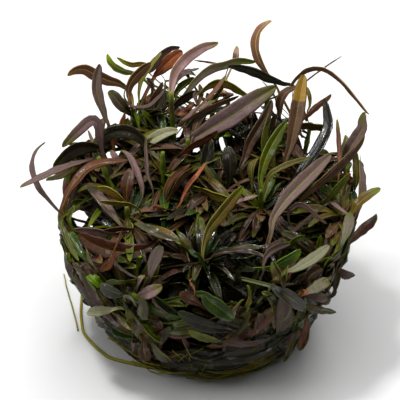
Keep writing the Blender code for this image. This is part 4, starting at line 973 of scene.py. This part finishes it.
# The studio: each light's name, place in metres, size in metres and power in watts
FLOOR_SIZE = 4.0
WORLD_STRENGTH = 0.13
STUDIO_LIGHTS = (
    ("overhead", (0.05, 0.1, 0.75), (0.9, 0.8), 7.0),
    ("left", (-0.6, -0.1, 0.55), (0.3, 0.35), 2.0),
    ("back", (0.2, 0.7, 0.42), (0.4, 0.2), 3.0),
    ("key", (-0.22, 0.12, 0.7), (0.1, 0.1), 4.2),
)


def lance(share):
    """A blade's width at a share of its length, as a share of its greatest width."""
    if share < WIDEST_AT:
        rise = max(share, 0.0) / WIDEST_AT
        return FOOT_WIDTH + (1 - FOOT_WIDTH) * rise * rise * (3 - 2 * rise)
    return max(math.sqrt(max(1 - ((share - WIDEST_AT) / (1 - WIDEST_AT)) ** 2.1, 0)), 0.03)


def deselect_all():
    """Leave nothing selected."""
    bpy.ops.object.select_all(action="DESELECT")


def new_object(name, data):
    """An object in the scene for a mesh, curve, light or camera."""
    added = bpy.data.objects.new(name, data)
    bpy.context.scene.collection.objects.link(added)
    return added


def select_where(shape, chosen):
    """Select in edit mode the corners that a test chooses."""
    for corner in shape.verts:
        corner.select = bool(chosen(corner.co))
    shape.select_flush_mode()


def blade_template(rows_wanted, columns_wanted):
    """One blade, a unit long and wide, along +Y: stalk, upper and under side, groove and rippled margins."""
    deselect_all()
    bpy.ops.mesh.primitive_grid_add(x_subdivisions=columns_wanted, y_subdivisions=rows_wanted, size=1)
    template = bpy.context.object
    bpy.ops.object.mode_set(mode="EDIT")
    bpy.ops.mesh.select_mode(type="VERT")
    shape = bmesh.from_edit_mesh(template.data)
    rows = sorted({round(corner.co.y, 4) for corner in shape.verts})
    columns = sorted({round(corner.co.x, 4) for corner in shape.verts})
    for column in columns:
        lift = -BLADE_GROOVE * math.exp(-(column / 0.09) ** 2)
        select_where(shape, lambda place: abs(place.x - column) < 0.001)
        bpy.ops.transform.translate(value=(0, 0, lift))
    for side in (columns[0], columns[-1]):
        for number, row in enumerate(rows):
            lift = BLADE_RIPPLE * math.sin(number * 1.35 + side * 3) * math.sin(math.pi * number / len(rows))
            select_where(shape, lambda place: abs(place.y - row) < 0.001 and abs(place.x - side) < 0.001)
            bpy.ops.transform.translate(value=(0, 0, lift))
    for row in rows:
        share = (row + 0.5 - STALK_ROWS_SHARE) / (1 - STALK_ROWS_SHARE)
        select_where(shape, lambda place: abs(place.y - row) < 0.001)
        bpy.ops.transform.resize(value=(lance(1 - (1 - share) ** 1.3 if share > 0 else 0), 1, 1),
                                 center_override=(0, row, 0))
    bpy.ops.object.mode_set(mode="OBJECT")
    for side in ("upper", "under"):
        template.data.materials.append(bpy.data.materials.new(side))
    thicken = template.modifiers.new("thickness", "SOLIDIFY")
    thicken.thickness = BLADE_THICKNESS
    thicken.offset = -1
    thicken.material_offset = 1
    bpy.ops.object.modifier_apply(modifier=thicken.name)
    bpy.ops.object.shade_smooth()
    places = np.empty(len(template.data.vertices) * 3, dtype=np.float32)
    template.data.vertices.foreach_get("co", places)
    return template, places.reshape(-1, 3)


def bent_places(places, path, facing, width, bare, fold, twist):
    """A template's corners laid along a path, with the blade folded along its rib and twisted."""
    line = smooth_line(path, PATH_POINTS)
    along, across = frames_along(line, facing)
    line, along, across = (np.array([tuple(v) for v in vectors]) for vectors in (line, along, across))
    above = np.cross(across, along)
    row = np.clip(places[:, 1] + 0.5, 0, 1)
    bare = max(bare, LEAST_BARE)
    in_blade = np.clip((row - STALK_ROWS_SHARE) / (1 - STALK_ROWS_SHARE), 0, 1)
    share = np.where(row < STALK_ROWS_SHARE, bare * row / STALK_ROWS_SHARE,
                     bare + (1 - bare) * (1 - (1 - in_blade) ** 1.3))
    spot = share * (PATH_POINTS - 1)
    low = np.minimum(spot.astype(int), PATH_POINTS - 2)
    part = (spot - low)[:, None]

    def between(values):
        return values[low] * (1 - part) + values[low + 1] * part

    angle = twist * (share - 0.3)
    turned = np.cos(angle)[:, None] * between(across) + np.sin(angle)[:, None] * between(above)
    raised = np.cos(angle)[:, None] * between(above) - np.sin(angle)[:, None] * between(across)
    sideways = places[:, 0] * width
    height = places[:, 2] * width + fold * np.abs(sideways)
    laid = between(line) + turned * sideways[:, None] + raised * height[:, None]
    laid[:, 2] = np.maximum(laid[:, 2], FLOOR_CLEARANCE)
    return np.clip(laid * METRES, *CAD_BOX)


def add_blade(kind, leaf, tints, most_twist, tone_and_painted_light, chance):
    """A copy of a template bent into one leaf, as an object of its own."""
    template, places = kind
    mesh = template.data.copy()
    fold, twist = chance.uniform(*BLADE_FOLDS), chance.uniform(-most_twist, most_twist)
    mesh.vertices.foreach_set("co", bent_places(places, *leaf[1:], fold, twist).astype(np.float32).ravel())
    mesh.materials[0], mesh.materials[1] = (leaf_material(tint) for tint in tints)
    # Each leaf keeps a chance number and a tone, and the tone also holds painted light and painted shade
    for label, number in (("chance", chance.random()), ("tone_and_painted_light", tone_and_painted_light)):
        value = mesh.attributes.new(label, "FLOAT", "POINT")
        value.data.foreach_set("value", np.full(len(mesh.vertices), number, dtype=np.float32))
    mesh.update()
    return new_object("blade", mesh)


def add_tube(lines, radii, sides, finish):
    """Tubes along lines of points, each with a radius at every point, as one mesh object with closed ends."""
    curve = bpy.data.curves.new("tubes", "CURVE")
    curve.dimensions = "3D"
    curve.bevel_depth = METRES
    curve.bevel_resolution = max(0, sides // 2 - 2)
    curve.use_fill_caps = True
    for line, widths in zip(lines, radii):
        spline = curve.splines.new("POLY")
        spline.points.add(len(line) - 1)
        for place, point, radius in zip(spline.points, line, widths):
            place.co = (*(point * METRES), 1)
            place.radius = radius
    holder = new_object("tubes", curve)
    bpy.context.view_layer.update()
    mesh = bpy.data.meshes.new_from_object(holder.evaluated_get(bpy.context.evaluated_depsgraph_get()))
    bpy.data.objects.remove(holder)
    shape = bmesh.new()
    shape.from_mesh(mesh)
    bmesh.ops.remove_doubles(shape, verts=shape.verts, dist=1e-7)
    shape.to_mesh(mesh)
    shape.free()
    mesh.shade_smooth()
    mesh.materials.clear()
    mesh.materials.append(finish)
    return new_object("tubes", mesh)


def join(name, parts):
    """Join objects into one named piece."""
    deselect_all()
    for part in parts:
        part.select_set(True)
    bpy.context.view_layer.objects.active = parts[0]
    if len(parts) > 1:
        bpy.ops.object.join()
    piece = bpy.context.view_layer.objects.active
    piece.name = piece.data.name = name
    return piece


def stand_for(piece, node):
    """A piece takes a CAD node's place and rides on the body."""
    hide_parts(node)
    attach(piece, "root")


def fine_stem(path):
    """A stem that swells at its nodes."""
    line = smooth_line(path, FINE_STEM_POINTS)
    radii, walked = [], 0.0
    for index, point in enumerate(line):
        if index:
            walked += (point - line[index - 1]).length
        swell = math.exp(-((walked % KNOT_SPACING - KNOT_SPACING / 2) / 0.9) ** 2)
        radii.append(FINE_STEM_RADIUS * (1.15 - 0.5 * index / len(line)) * (1 + KNOT_SWELL * swell))
    return add_tube([line], [radii], 10, stem_material())


def wandering(points, chance, amount, count):
    """A smooth line through points, with a slight unevenness of its own."""
    shift = Vector((chance.random(), chance.random(), chance.random())) * 50
    line = smooth_line(points, count)
    return [point + noise.noise_vector(point * 0.25 + shift) * amount for point in line]


def mat_root_lines(chance):
    """Roots that wind round the mat's rim and over its top and underside."""
    lines, radii = [], []
    for number in range(MAT_ROOTS):
        start, sweep = chance.uniform(0, 2 * math.pi), chance.uniform(0.4, 2.6) * chance.choice((-1, 1))
        count = max(8, int(abs(sweep) * 14))
        thick = chance.uniform(*MAT_ROOT_RADII)
        low, high = chance.uniform(0, MAT_HEIGHT + 0.6), chance.uniform(0, MAT_HEIGHT + 0.6)
        inner = chance.uniform(2, 20) if number % 3 == 0 else None
        line = []
        for index in range(count):
            share = index / (count - 1)
            angle = start + sweep * share
            height = low + (high - low) * share
            ring = MAT_RADIUS * (1.03 + 0.05 * math.sin(height / MAT_HEIGHT * math.pi))
            if inner is not None:
                ring = inner + (ring - inner) * abs(2 * share - 1) ** 1.5
                height = MAT_HEIGHT + 0.3
            wobble = noise.noise_vector(Vector((math.cos(angle) * 3, math.sin(angle) * 3, number * 1.7)))
            ring += wobble.x * 1.1
            height = max(thick + ROOT_LIFT, height + wobble.z * 1.2)
            line.append(ring_point(ring, angle, height))
        lines.append(line)
        radii.append([thick * (1 - 0.55 * index / count) for index in range(count)])
    return lines, radii


def rim_root_lines(chance):
    """Roots that circle the foot of the clump, the pale ones first and then the dark ones."""
    lines, radii = ([], []), ([], [])
    for number in range(RIM_ROOTS):
        start, sweep = chance.uniform(0, 2 * math.pi), chance.uniform(*RIM_SWEEPS)
        ring, height = chance.uniform(*RIM_RINGS), chance.uniform(*RIM_HEIGHTS)
        line = []
        for step in range(RIM_POINTS):
            angle = start + sweep * step / (RIM_POINTS - 1)
            uneven = noise.noise_vector(Vector((math.cos(angle) * 4, math.sin(angle) * 4, number * 2.3))) * 1.4
            level = max(height + uneven.z, RIM_ROOT_RADIUS + ROOT_LIFT)
            line.append(ring_point(ring + uneven.x, angle, level))
        thick = RIM_ROOT_RADIUS * chance.uniform(0.5, 1.0)
        lines[number % 2].append(line)
        radii[number % 2].append([thick * (1 - step / 32) for step in range(RIM_POINTS)])
    return lines, radii


def root_mat_piece(chance):
    """The matted roots: a lumpy dark core, and the roots that wind over it."""
    core_mesh = bpy.data.meshes.new("core")
    core_shape = root_mat()
    bmesh.ops.subdivide_edges(core_shape, edges=core_shape.edges, cuts=2, use_grid_fill=True)
    bmesh.ops.transform(core_shape, matrix=Matrix.Scale(METRES, 4), verts=core_shape.verts)
    core_shape.to_mesh(core_mesh)
    core_mesh.materials.append(mat_material())
    core_mesh.shade_smooth()
    rims, rim_radii = rim_root_lines(chance)
    tangle_lines, tangle_radii = mat_root_lines(chance)
    tangle = add_tube(tangle_lines + rims[1], tangle_radii + rim_radii[1], 6, tangle_material())
    lines, radii = rims[0], rim_radii[0]
    for pixels in SEEN_ROOTS:
        points = [sight_point(px, py, form_reach(px, py) + 0.6) for px, py in pixels]
        line = wandering(points, chance, 0.1, SEEN_ROOT_POINTS)
        lines.append([Vector((point.x, point.y, max(point.z, 0.4))) for point in line])
        radii.append([SEEN_ROOT_RADIUS * (1 - index / 18) for index in range(SEEN_ROOT_POINTS)])
    fine_roots = add_tube(lines, radii, 6, root_material())
    return join("root_mat_tangle", [new_object("core", core_mesh), tangle, fine_roots])


def loose_root_piece(name, pixels, chance):
    """A loose root that tapers towards its free end."""
    thick = LOOSE_ROOT_RADII[name]
    points = [floor_point(px, py, ROOT_RADIUS + ROOT_LIFT) for px, py in pixels]
    line = wandering(points, chance, 0.15, LOOSE_ROOT_POINTS)
    line = [Vector((point.x, point.y, max(point.z - ROOT_RADIUS / 2, thick))) for point in line]
    last = LOOSE_ROOT_POINTS - 1
    radii = [thick * (1 - 0.35 * (index / last) ** 1.5) for index in range(LOOSE_ROOT_POINTS)]
    return join("loose_root_" + name, [add_tube([line], [radii], 8, root_material())])


def under_leaves(stems, chance):
    """Small leaves deep in the clump, dark partly of their own colour and partly as painted shade."""
    leaves = []
    for name, path in stems.items():
        spots = smooth_line(path, 30)
        for _ in range(UNDER_TRIES):
            spot = chance.choice(spots[3:])
            angle = chance.uniform(0, 2 * math.pi)
            heading = level_heading(angle)
            rise, droop = chance.uniform(0.3, 1.4), chance.uniform(0.2, 2.0)
            points = grown_line(spot, heading, rise, droop, chance.uniform(*UNDER_LENGTHS))
            width = chance.uniform(*UNDER_WIDTHS)
            if hidden(points[1:], UNDER_DEPTH):
                facing = arched_facing(heading, rise, droop)
                leaves.append(("shoot_" + name, points, facing, width, GROWN_BARE))
    return leaves


def wall_leaves(stems, chance):
    """More leaves pressed flat around the clump's sides and back."""
    leaves = []
    for _ in range(WALL_LEAVES):
        turn, lean = chance.uniform(0, 2 * math.pi), chance.uniform(*PRESSED_LEANS)
        height, length = chance.uniform(*WALL_HEIGHTS), chance.uniform(*WALL_LENGTHS)
        inset = chance.uniform(0.0, MOST_INSET) * min(height / 12, 1)
        points = []
        for step, point in enumerate(pressed_line(turn, height, lean, length)):
            inward = 1 - (inset + (FOOT_INSET if step == 0 else 0.0)) / WALL_RADIUS
            points.append(Vector((point.x * inward, point.y * inward, point.z)))
        width = chance.uniform(*WALL_WIDTHS)
        if not hidden(points, HIDDEN_DEPTH) or not stays_inside(points):
            continue
        stem, spot = stems_near(points, stems)[0]
        path = [spot, *points] if (spot - points[0]).length > 1.5 else points
        facing = outward_facing(points)
        if lowest(smooth_line(path, 12)) > LEAST_HEIGHT:
            bare = bare_share(path, (spot - points[0]).length) if len(path) > len(points) else GROWN_BARE
            leaves.append(("shoot_" + stem, path, facing, width, bare))
    return leaves


def skirt_leaves(stems, chance):
    """Dark leaves that lie almost level round the foot of the clump and hide the mat."""
    leaves = []
    for _ in range(SKIRT_LEAVES):
        turn, lean = chance.uniform(0, 2 * math.pi), chance.uniform(*SKIRT_LEANS) * chance.choice((-1, 1))
        height, length = chance.uniform(*SKIRT_HEIGHTS), chance.uniform(*WALL_LENGTHS)
        points = []
        for point in pressed_line(turn, height, lean, length):
            around = math.hypot(point.x, point.y)
            ring = max(around, SKIRT_RADIUS) / around
            points.append(Vector((point.x * ring, point.y * ring, max(point.z, SKIRT_HEIGHTS[0]))))
        facing = outward_facing(points)
        stem = nearest_stems(points[0], facing, stems)[0][0]
        leaves.append(("shoot_" + stem, points, facing, chance.uniform(*WALL_WIDTHS), GROWN_BARE))
    return leaves


def in_outline(px, py):
    """Whether a pixel lies within the dense foliage and out of its clear openings."""
    for (x0, y0), (x1, y1) in zip(SKYLINE, SKYLINE[1:]):
        if x0 <= px <= x1 and py < y0 + (y1 - y0) * (px - x0) / (x1 - x0):
            return False
    return all(math.hypot(px - x, py - y) > half + 2 for x, y, half in CLEAR_SIGHTS)


def within_foliage(point):
    """Whether a point is seen within the dense foliage and lies behind its leaves."""
    px, py, reach = pixel_of(point)
    return in_outline(px, py) and form_reach(px, py) - reach > FILLER_DEPTH


def stays_inside(points):
    """Whether a leaf's edges, too, are seen within the dense foliage."""
    pixels = [pixel_of(point) for point in points]
    return all(in_outline(px + aside, py) for px, py, _ in pixels for aside in (-LEAF_MARGIN, LEAF_MARGIN))


def filler_leaves(stems, chance):
    """Leaves that fill the crown behind the larger ones, up to the edge of the dense foliage."""
    leaves = []
    names = list(stems)
    for _ in range(FILLER_TRIES):
        name = chance.choice(names)
        spots = smooth_line(stems[name], 12)
        spot = chance.choice(spots[5:])
        angle = chance.uniform(0, 2 * math.pi)
        heading = level_heading(angle)
        rise, droop = chance.uniform(0.2, 1.5), chance.uniform(0.0, 1.6)
        points = grown_line(spot, heading, rise, droop, chance.uniform(*FILLER_LENGTHS))
        width = chance.uniform(*FILLER_WIDTHS)
        if points[-1].z < INNER_TOP_HEIGHT - 4 or not all(within_foliage(point) for point in points[1:]):
            continue
        facing = arched_facing(heading, rise, droop)
        leaves.append(("shoot_" + name, points, facing, width, GROWN_BARE))
    return leaves


def extra_leaves(stems):
    """The smaller leaves that the photograph shows, with their tints and tones, the tones partly painted light.
    """
    leaves = []
    for number, (name, entry) in enumerate(EXTRA_LEAVES.items()):
        points = seen_points(entry, 0)
        stem, spot = stems_near(points, stems)[0]
        width, facing = turned_facing(points, entry[1], 1 if number % 2 else -1)
        path = [spot, *points]
        leaf = ("shoot_" + stem, path, facing, width, bare_share(path, (points[0] - spot).length))
        leaves.append((leaf, entry[0], TONES_AND_PAINTED_LIGHT.get(name, 1.0)))
    return leaves


def bud_leaves(stems, chance):
    """The pairs of small young leaves at each stem's top."""
    leaves = []
    for name, path in stems.items():
        top = smooth_line(path, 30)[-1]
        for number in range(4):
            angle = number * math.pi / 2 + chance.uniform(-0.3, 0.3)
            heading = level_heading(angle)
            points = grown_line(top - Vector((0, 0, 0.6)), heading, chance.uniform(0.9, 1.35), 0.5,
                                chance.uniform(*BUD_LENGTHS))
            if all(within_foliage(point) for point in points):
                leaves.append(("shoot_" + name, points, Vector((0, 0, 0.3)) - heading, BUD_WIDTH, GROWN_BARE))
    return leaves


class Net:
    """A material's node tree, with short ways to add nodes and links."""

    def __init__(self, tree):
        self.tree = tree

    def node(self, kind, inputs=(), **settings):
        added = self.tree.nodes.new(kind)
        for key, value in settings.items():
            setattr(added, key, value)
        for key, value in dict(inputs).items():
            self.feed(added.inputs[key], value)
        return added

    def feed(self, socket, value):
        if isinstance(value, bpy.types.NodeSocket):
            self.tree.links.new(value, socket)
        elif isinstance(value, tuple) and len(value) == 3 and socket.type == "RGBA":
            socket.default_value = (*value, 1)
        else:
            socket.default_value = value

    def math(self, operation, *values):
        return self.node("ShaderNodeMath", dict(enumerate(values)), operation=operation).outputs[0]

    def mix(self, factor, a, b, blend="MIX"):
        added = self.node("ShaderNodeMix", data_type="RGBA", blend_type=blend)
        for socket, value in zip((added.inputs[0], added.inputs[6], added.inputs[7]), (factor, a, b)):
            self.feed(socket, value)
        return added.outputs[2]

    def noise(self, vector, scale, detail=2.0, rough=0.5):
        return self.node("ShaderNodeTexNoise", {"Vector": vector, "Scale": scale, "Detail": detail,
                                                "Roughness": rough}).outputs["Fac"]

    def place(self):
        """A point's place on the whole clump, in metres."""
        return self.node("ShaderNodeTexCoord").outputs["Object"]

    def raise_relief(self, surface, height, strength, distance):
        """Bumps on a surface, as deep as distance in metres."""
        bump = self.node("ShaderNodeBump", {"Height": height, "Strength": strength, "Distance": distance})
        self.feed(surface.inputs["Normal"], bump.outputs[0])

    def span(self, value, low, high, to_low=0.0, to_high=1.0):
        """Spread a range of values smoothly over another."""
        return self.node("ShaderNodeMapRange", {"Value": value, "From Min": low, "From Max": high,
                                                "To Min": to_low, "To Max": to_high},
                         interpolation_type="SMOOTHSTEP").outputs[0]


def new_group(name, inputs, outputs):
    """A node group with named sockets, given as (name, kind, value)."""
    group = bpy.data.node_groups.new(name, "ShaderNodeTree")
    for label, kind, value in inputs:
        socket = group.interface.new_socket(label, in_out="INPUT", socket_type=kind)
        socket.default_value = value
    for label, kind in outputs:
        group.interface.new_socket(label, in_out="OUTPUT", socket_type=kind)
    net = Net(group)
    return group, net, net.node("NodeGroupInput").outputs, net.node("NodeGroupOutput").inputs


@cache
def leaf_skin_group():
    """A leaf's surface: ribs, veins, blush, margin, tip, patches, its tone with painted light and shade in it,
    and the uneven film of water on it.
    """
    names = ("Body", "Blush", "Rib", "Margin", "Tip")
    colours = [(name, "NodeSocketColor", (0.1, 0.1, 0.1, 1)) for name in names]
    numbers = [("Roughness", "NodeSocketFloat", 0.25), ("Tip Start", "NodeSocketFloat", 0.72),
               ("Tip End", "NodeSocketFloat", 0.98)]
    group, net, given, out = new_group(
        "leaf skin", [*colours, *numbers],
        [("Color", "NodeSocketColor"), ("Roughness", "NodeSocketFloat"), ("Film", "NodeSocketFloat"),
         ("Height", "NodeSocketFloat")])
    place = net.place()
    unrolled = net.node("ShaderNodeUVMap", uv_map="UVMap").outputs[0]
    flat = net.node("ShaderNodeSeparateXYZ", {0: unrolled}).outputs
    chance = net.node("ShaderNodeAttribute", attribute_name="chance").outputs["Fac"]
    aside = net.math("ABSOLUTE", net.math("SUBTRACT", flat[0], 0.5))
    length = flat[1]

    leaning = net.math("MULTIPLY", net.math("SUBTRACT", chance, 0.5), 0.5)
    blush = net.math("ADD", net.noise(place, 160.0, 3.0), leaning)
    colour = net.mix(net.span(blush, 0.42, 0.68), given["Body"], given["Blush"])
    mottle = net.noise(place, 1500.0, 3.0, 0.7)
    colour = net.mix(0.75, colour, net.mix(mottle, (0.38, 0.38, 0.38), (1.68, 1.68, 1.68)), "MULTIPLY")
    stretch = net.math("SUBTRACT", given["Tip End"], given["Tip Start"])
    shift = net.math("MULTIPLY", net.math("SUBTRACT", chance, 0.6), stretch)
    tip = net.span(net.math("ADD", length, shift), given["Tip Start"], given["Tip End"])
    colour = net.mix(tip, colour, given["Tip"])
    foot = net.span(length, 0.36, 0.08)
    colour = net.mix(net.math("MULTIPLY", foot, 0.75), colour, given["Margin"])

    slant = net.math("SUBTRACT", net.math("MULTIPLY", length, 15.0), net.math("MULTIPLY", aside, 5.0))
    wave = net.math("ABSOLUTE", net.math("SUBTRACT", net.math("FRACT", net.math("ADD", slant, mottle)), 0.5))
    veins = net.math("MULTIPLY", net.span(wave, 0.11, 0.0), net.span(aside, 0.46, 0.3))
    colour = net.mix(net.math("MULTIPLY", veins, 0.28), colour, given["Rib"])
    thinning = net.span(length, 0.95, 0.2, 0.018, 0.05)
    rib = net.span(aside, net.math("ADD", thinning, 0.02), thinning)
    colour = net.mix(net.math("MULTIPLY", rib, 0.75), colour, given["Rib"])
    margin = net.span(aside, 0.4, 0.475)
    colour = net.mix(net.math("MULTIPLY", margin, 0.85), colour, given["Margin"])
    patch = net.span(net.noise(place, 420.0, 4.0, 0.65), 0.6, 0.72)
    colour = net.mix(net.math("MULTIPLY", patch, 0.35), colour, (0.03, 0.018, 0.01))
    # The leaf's tone scales its colour: its own lightness, together with painted sheen, painted highlight and
    # painted shade
    tone_and_painted_light = net.node("ShaderNodeAttribute", attribute_name="tone_and_painted_light").outputs["Fac"]
    grey = net.node("ShaderNodeCombineColor", {0: tone_and_painted_light, 1: tone_and_painted_light, 2: tone_and_painted_light}).outputs[0]
    colour = net.mix(1.0, colour, grey, "MULTIPLY")
    net.feed(out["Color"], colour)

    film = net.noise(place, 650.0, 3.0, 0.6)
    net.feed(out["Roughness"], net.math("MULTIPLY", given["Roughness"], net.span(film, 0.35, 0.7, 1.0, 1.7)))
    drops = net.span(net.noise(place, 330.0, 4.0, 0.6), 0.57, 0.62)
    net.feed(out["Film"], drops)
    cockle = net.math("MULTIPLY", net.noise(place, 700.0, 2.0), 1.0)
    fine = net.math("MULTIPLY", net.noise(place, 3200.0, 2.0), 0.3)
    relief = net.math("ADD", net.math("ADD", cockle, fine), net.math("MULTIPLY", veins, 0.22))
    net.feed(out["Height"], net.math("SUBTRACT", relief, net.math("MULTIPLY", rib, 0.5)))
    return group


def new_surface(name):
    """A material with a Principled surface."""
    finish = bpy.data.materials.new(name)
    finish.use_nodes = True
    return finish, Net(finish.node_tree), finish.node_tree.nodes["Principled BSDF"]


@cache
def leaf_material(tint):
    """One side of one kind of leaf."""
    finish, net, surface = new_surface("leaf " + tint)
    skin = net.node("ShaderNodeGroup", node_tree=leaf_skin_group())
    for label, value in zip(("Body", "Blush", "Rib", "Margin", "Tip", "Roughness"), SKINS[tint]):
        net.feed(skin.inputs[label], value)
    if tint in SHARP_TIPS:
        skin.inputs["Tip Start"].default_value, skin.inputs["Tip End"].default_value = SHARP_TIPS[tint]
    net.feed(surface.inputs["Base Color"], skin.outputs["Color"])
    net.feed(surface.inputs["Roughness"], skin.outputs["Roughness"])
    net.raise_relief(surface, skin.outputs["Height"], 0.6, 0.00025)
    surface.inputs["Specular IOR Level"].default_value = 0.12
    wet = 1.0 if SKINS[tint][5] < DRY_ROUGHNESS else DRY_FILM
    net.feed(surface.inputs["Coat Weight"], net.math("MULTIPLY", skin.outputs["Film"], wet))
    surface.inputs["Coat Roughness"].default_value = 0.07
    surface.inputs["Coat IOR"].default_value = 1.33
    return finish


@cache
def stem_material():
    """Green stems, browner in places."""
    finish, net, surface = new_surface("stem skin")
    place = net.place()
    pale = net.span(net.noise(place, 260.0, 2.0), 0.4, 0.65)
    colour = net.mix(pale, (0.05, 0.085, 0.004), (0.12, 0.15, 0.012))
    colour = net.mix(net.span(net.noise(place, 90.0, 2.0), 0.58, 0.75), colour, (0.06, 0.03, 0.012))
    net.feed(surface.inputs["Base Color"], colour)
    net.feed(surface.inputs["Roughness"], net.span(net.noise(place, 500.0), 0.3, 0.7, 0.2, 0.45))
    net.raise_relief(surface, net.noise(place, 1300.0, 2.0), 0.4, 0.0002)
    surface.inputs["Specular IOR Level"].default_value = 0.18
    surface.inputs["Coat Weight"].default_value = 0.1
    surface.inputs["Coat Roughness"].default_value = 0.08
    return finish


@cache
def root_material():
    """Pale olive roots with darker flecks."""
    finish, net, surface = new_surface("root skin")
    place = net.place()
    pale = net.span(net.noise(place, 130.0, 3.0), 0.4, 0.62)
    colour = net.mix(pale, (0.17, 0.155, 0.012), (0.28, 0.245, 0.028))
    colour = net.mix(net.span(net.noise(place, 60.0, 2.0), 0.45, 0.62), colour, (0.11, 0.125, 0.01))
    colour = net.mix(net.span(net.noise(place, 1900.0, 2.0), 0.4, 0.7, 0.0, 0.4), colour, (0.09, 0.07, 0.015))
    net.feed(surface.inputs["Base Color"], colour)
    net.feed(surface.inputs["Roughness"], net.span(net.noise(place, 700.0), 0.3, 0.7, 0.3, 0.6))
    net.raise_relief(surface, net.noise(place, 2400.0, 2.0), 0.4, 0.00015)
    surface.inputs["Specular IOR Level"].default_value = 0.04
    return finish


@cache
def tangle_material():
    """The darker roots of the mat."""
    finish, net, surface = new_surface("tangle skin")
    place = net.place()
    pale = net.span(net.noise(place, 200.0, 3.0), 0.4, 0.65)
    colour = net.mix(pale, (0.03, 0.032, 0.004), (0.13, 0.12, 0.008))
    net.feed(surface.inputs["Base Color"], colour)
    surface.inputs["Roughness"].default_value = 0.45
    surface.inputs["Specular IOR Level"].default_value = 0.06
    return finish


@cache
def mat_material():
    """The dark core of the mat."""
    finish, net, surface = new_surface("mat skin")
    place = net.place()
    pale = net.span(net.noise(place, 300.0, 4.0), 0.38, 0.65)
    colour = net.mix(pale, (0.01, 0.011, 0.003), (0.06, 0.058, 0.012))
    net.feed(surface.inputs["Base Color"], colour)
    surface.inputs["Roughness"].default_value = 0.6
    surface.inputs["Specular IOR Level"].default_value = 0.1
    net.raise_relief(surface, net.noise(place, 900.0, 4.0), 0.9, 0.0008)
    return finish


def painted_shade(points):
    """How much painted shade darkens a leaf for lying within the clump, away from its surface and the viewer,
    and more in the dark hollows.
    """
    middle = points[len(points) // 2]
    px, py, reach = pixel_of(middle)
    within = min(form_reach(px, py) - reach, max(WALL_RADIUS - math.hypot(middle.x, middle.y), 0) * 0.8)
    tone_and_painted_light = max(DEEPEST_PAINTED_SHADE, 1 - (1 - DEEPEST_PAINTED_SHADE) * max(within - 1, 0) / PAINTED_SHADE_DEPTH)
    in_hollow = any(math.hypot(px - x, py - y) < half for x, y, half in SHADED_HOLLOWS)
    return tone_and_painted_light * HOLLOW_PAINTED_SHADE if in_hollow else tone_and_painted_light


def build_plant():
    """Every piece of the plant, each in place of its CAD node."""
    chance = random.Random(SEED + 1)
    noise.seed_set(SEED)
    garden = Garden()
    garden.add("root_mat", root_mat())
    stems = stem_lines()
    for name, line in stems.items():
        garden.add("shoot_" + name, stem_prism(line, STEM_RADIUS))

    fine, plain = blade_template(FINE_ROWS, FINE_COLUMNS), blade_template(PLAIN_ROWS, PLAIN_COLUMNS)
    growth = {"shoot_" + name: [fine_stem(path)] for name, path in stems.items()}
    for name, leaf in place_seen_leaves(garden, stems).items():
        tint = SEEN_LEAVES[name][0]
        blade_object = add_blade(fine, leaf, (tint, REVERSES[tint]), SEEN_TWIST, TONES_AND_PAINTED_LIGHT.get(name, 1.0), chance)
        if leaf[0] in growth:
            growth[leaf[0]].append(blade_object)
        else:
            stand_for(join(leaf[0] + "_blade", [blade_object]), leaf[0])
    for leaf, tint, tone_and_painted_light in extra_leaves(stems):
        growth[leaf[0]].append(add_blade(plain, leaf, (tint, tint), SEEN_TWIST, tone_and_painted_light, chance))

    groups = ((place_pressed_leaves(garden, stems) + wall_leaves(stems, chance), WALL_TINTS),
              (skirt_leaves(stems, chance), SKIRT_TINTS),
              (place_grown_leaves(garden, stems) + filler_leaves(stems, chance), UPPER_TINTS),
              (bud_leaves(stems, chance), BUD_TINTS), (under_leaves(stems, chance), DEEP_TINTS_WITH_SHADE))
    for leaves, tints in groups:
        for leaf in leaves:
            # A random tone, darkened by painted shade for lying deep in the clump or in its dark hollows
            tint, tone_and_painted_light = chance.choice(tints), chance.uniform(*FREE_TONES) * painted_shade(leaf[1])
            growth[leaf[0]].append(add_blade(plain, leaf, (tint, REVERSES[tint]), FREE_TWIST, tone_and_painted_light, chance))
    for node, parts in growth.items():
        stand_for(join(node + "_growth", parts), node)

    for template, _ in (fine, plain):
        bpy.data.objects.remove(template)
    stand_for(root_mat_piece(chance), "root_mat")
    for name, pixels in LOOSE_ROOTS.items():
        node = "root_strand_" + name
        stand_for(loose_root_piece(name, pixels, chance), node)


def aim_at(thing, target):
    """Turn a light or camera towards a point."""
    thing.rotation_euler = (target - thing.location).to_track_quat("-Z", "Y").to_euler()


def add_light(name, place, size, power):
    """A rectangular white light that shines on the plant."""
    light = bpy.data.lights.new(name, "AREA")
    light.shape = "RECTANGLE"
    light.size, light.size_y = size
    light.energy = power
    lamp = new_object(name, light)
    lamp.location = place
    aim_at(lamp, AIM * METRES)


def build_studio():
    """A pale floor, soft lights and the photograph's viewpoint."""
    deselect_all()
    bpy.ops.mesh.primitive_plane_add(size=FLOOR_SIZE)
    floor = bpy.context.object
    floor.name = "floor"
    finish, net, surface = new_surface("floor")
    place = net.place()
    grain = net.noise(place, 40.0)
    net.feed(surface.inputs["Base Color"], net.mix(grain, (0.51, 0.51, 0.51), (0.54, 0.54, 0.54)))
    surface.inputs["Roughness"].default_value = 0.7
    floor.data.materials.append(finish)
    for light in STUDIO_LIGHTS:
        add_light(*light)
    world = bpy.data.worlds.new("studio")
    bpy.context.scene.world = world
    world.use_nodes = True
    sky = world.node_tree.nodes["Background"].inputs
    sky["Color"].default_value = (1, 1, 1, 1)
    sky["Strength"].default_value = WORLD_STRENGTH
    camera = bpy.data.cameras.new("camera")
    camera.lens = SIGHT_DISTANCE * PIXELS_PER_MM * camera.sensor_width / (2 * PICTURE_MIDDLE)
    viewpoint = new_object("camera", camera)
    viewpoint.location = (AIM + TOWARD * SIGHT_DISTANCE) * METRES
    aim_at(viewpoint, AIM * METRES)
    bpy.context.scene.camera = viewpoint
    bpy.context.scene.view_settings.view_transform = "Standard"


build_studio()
build_plant()
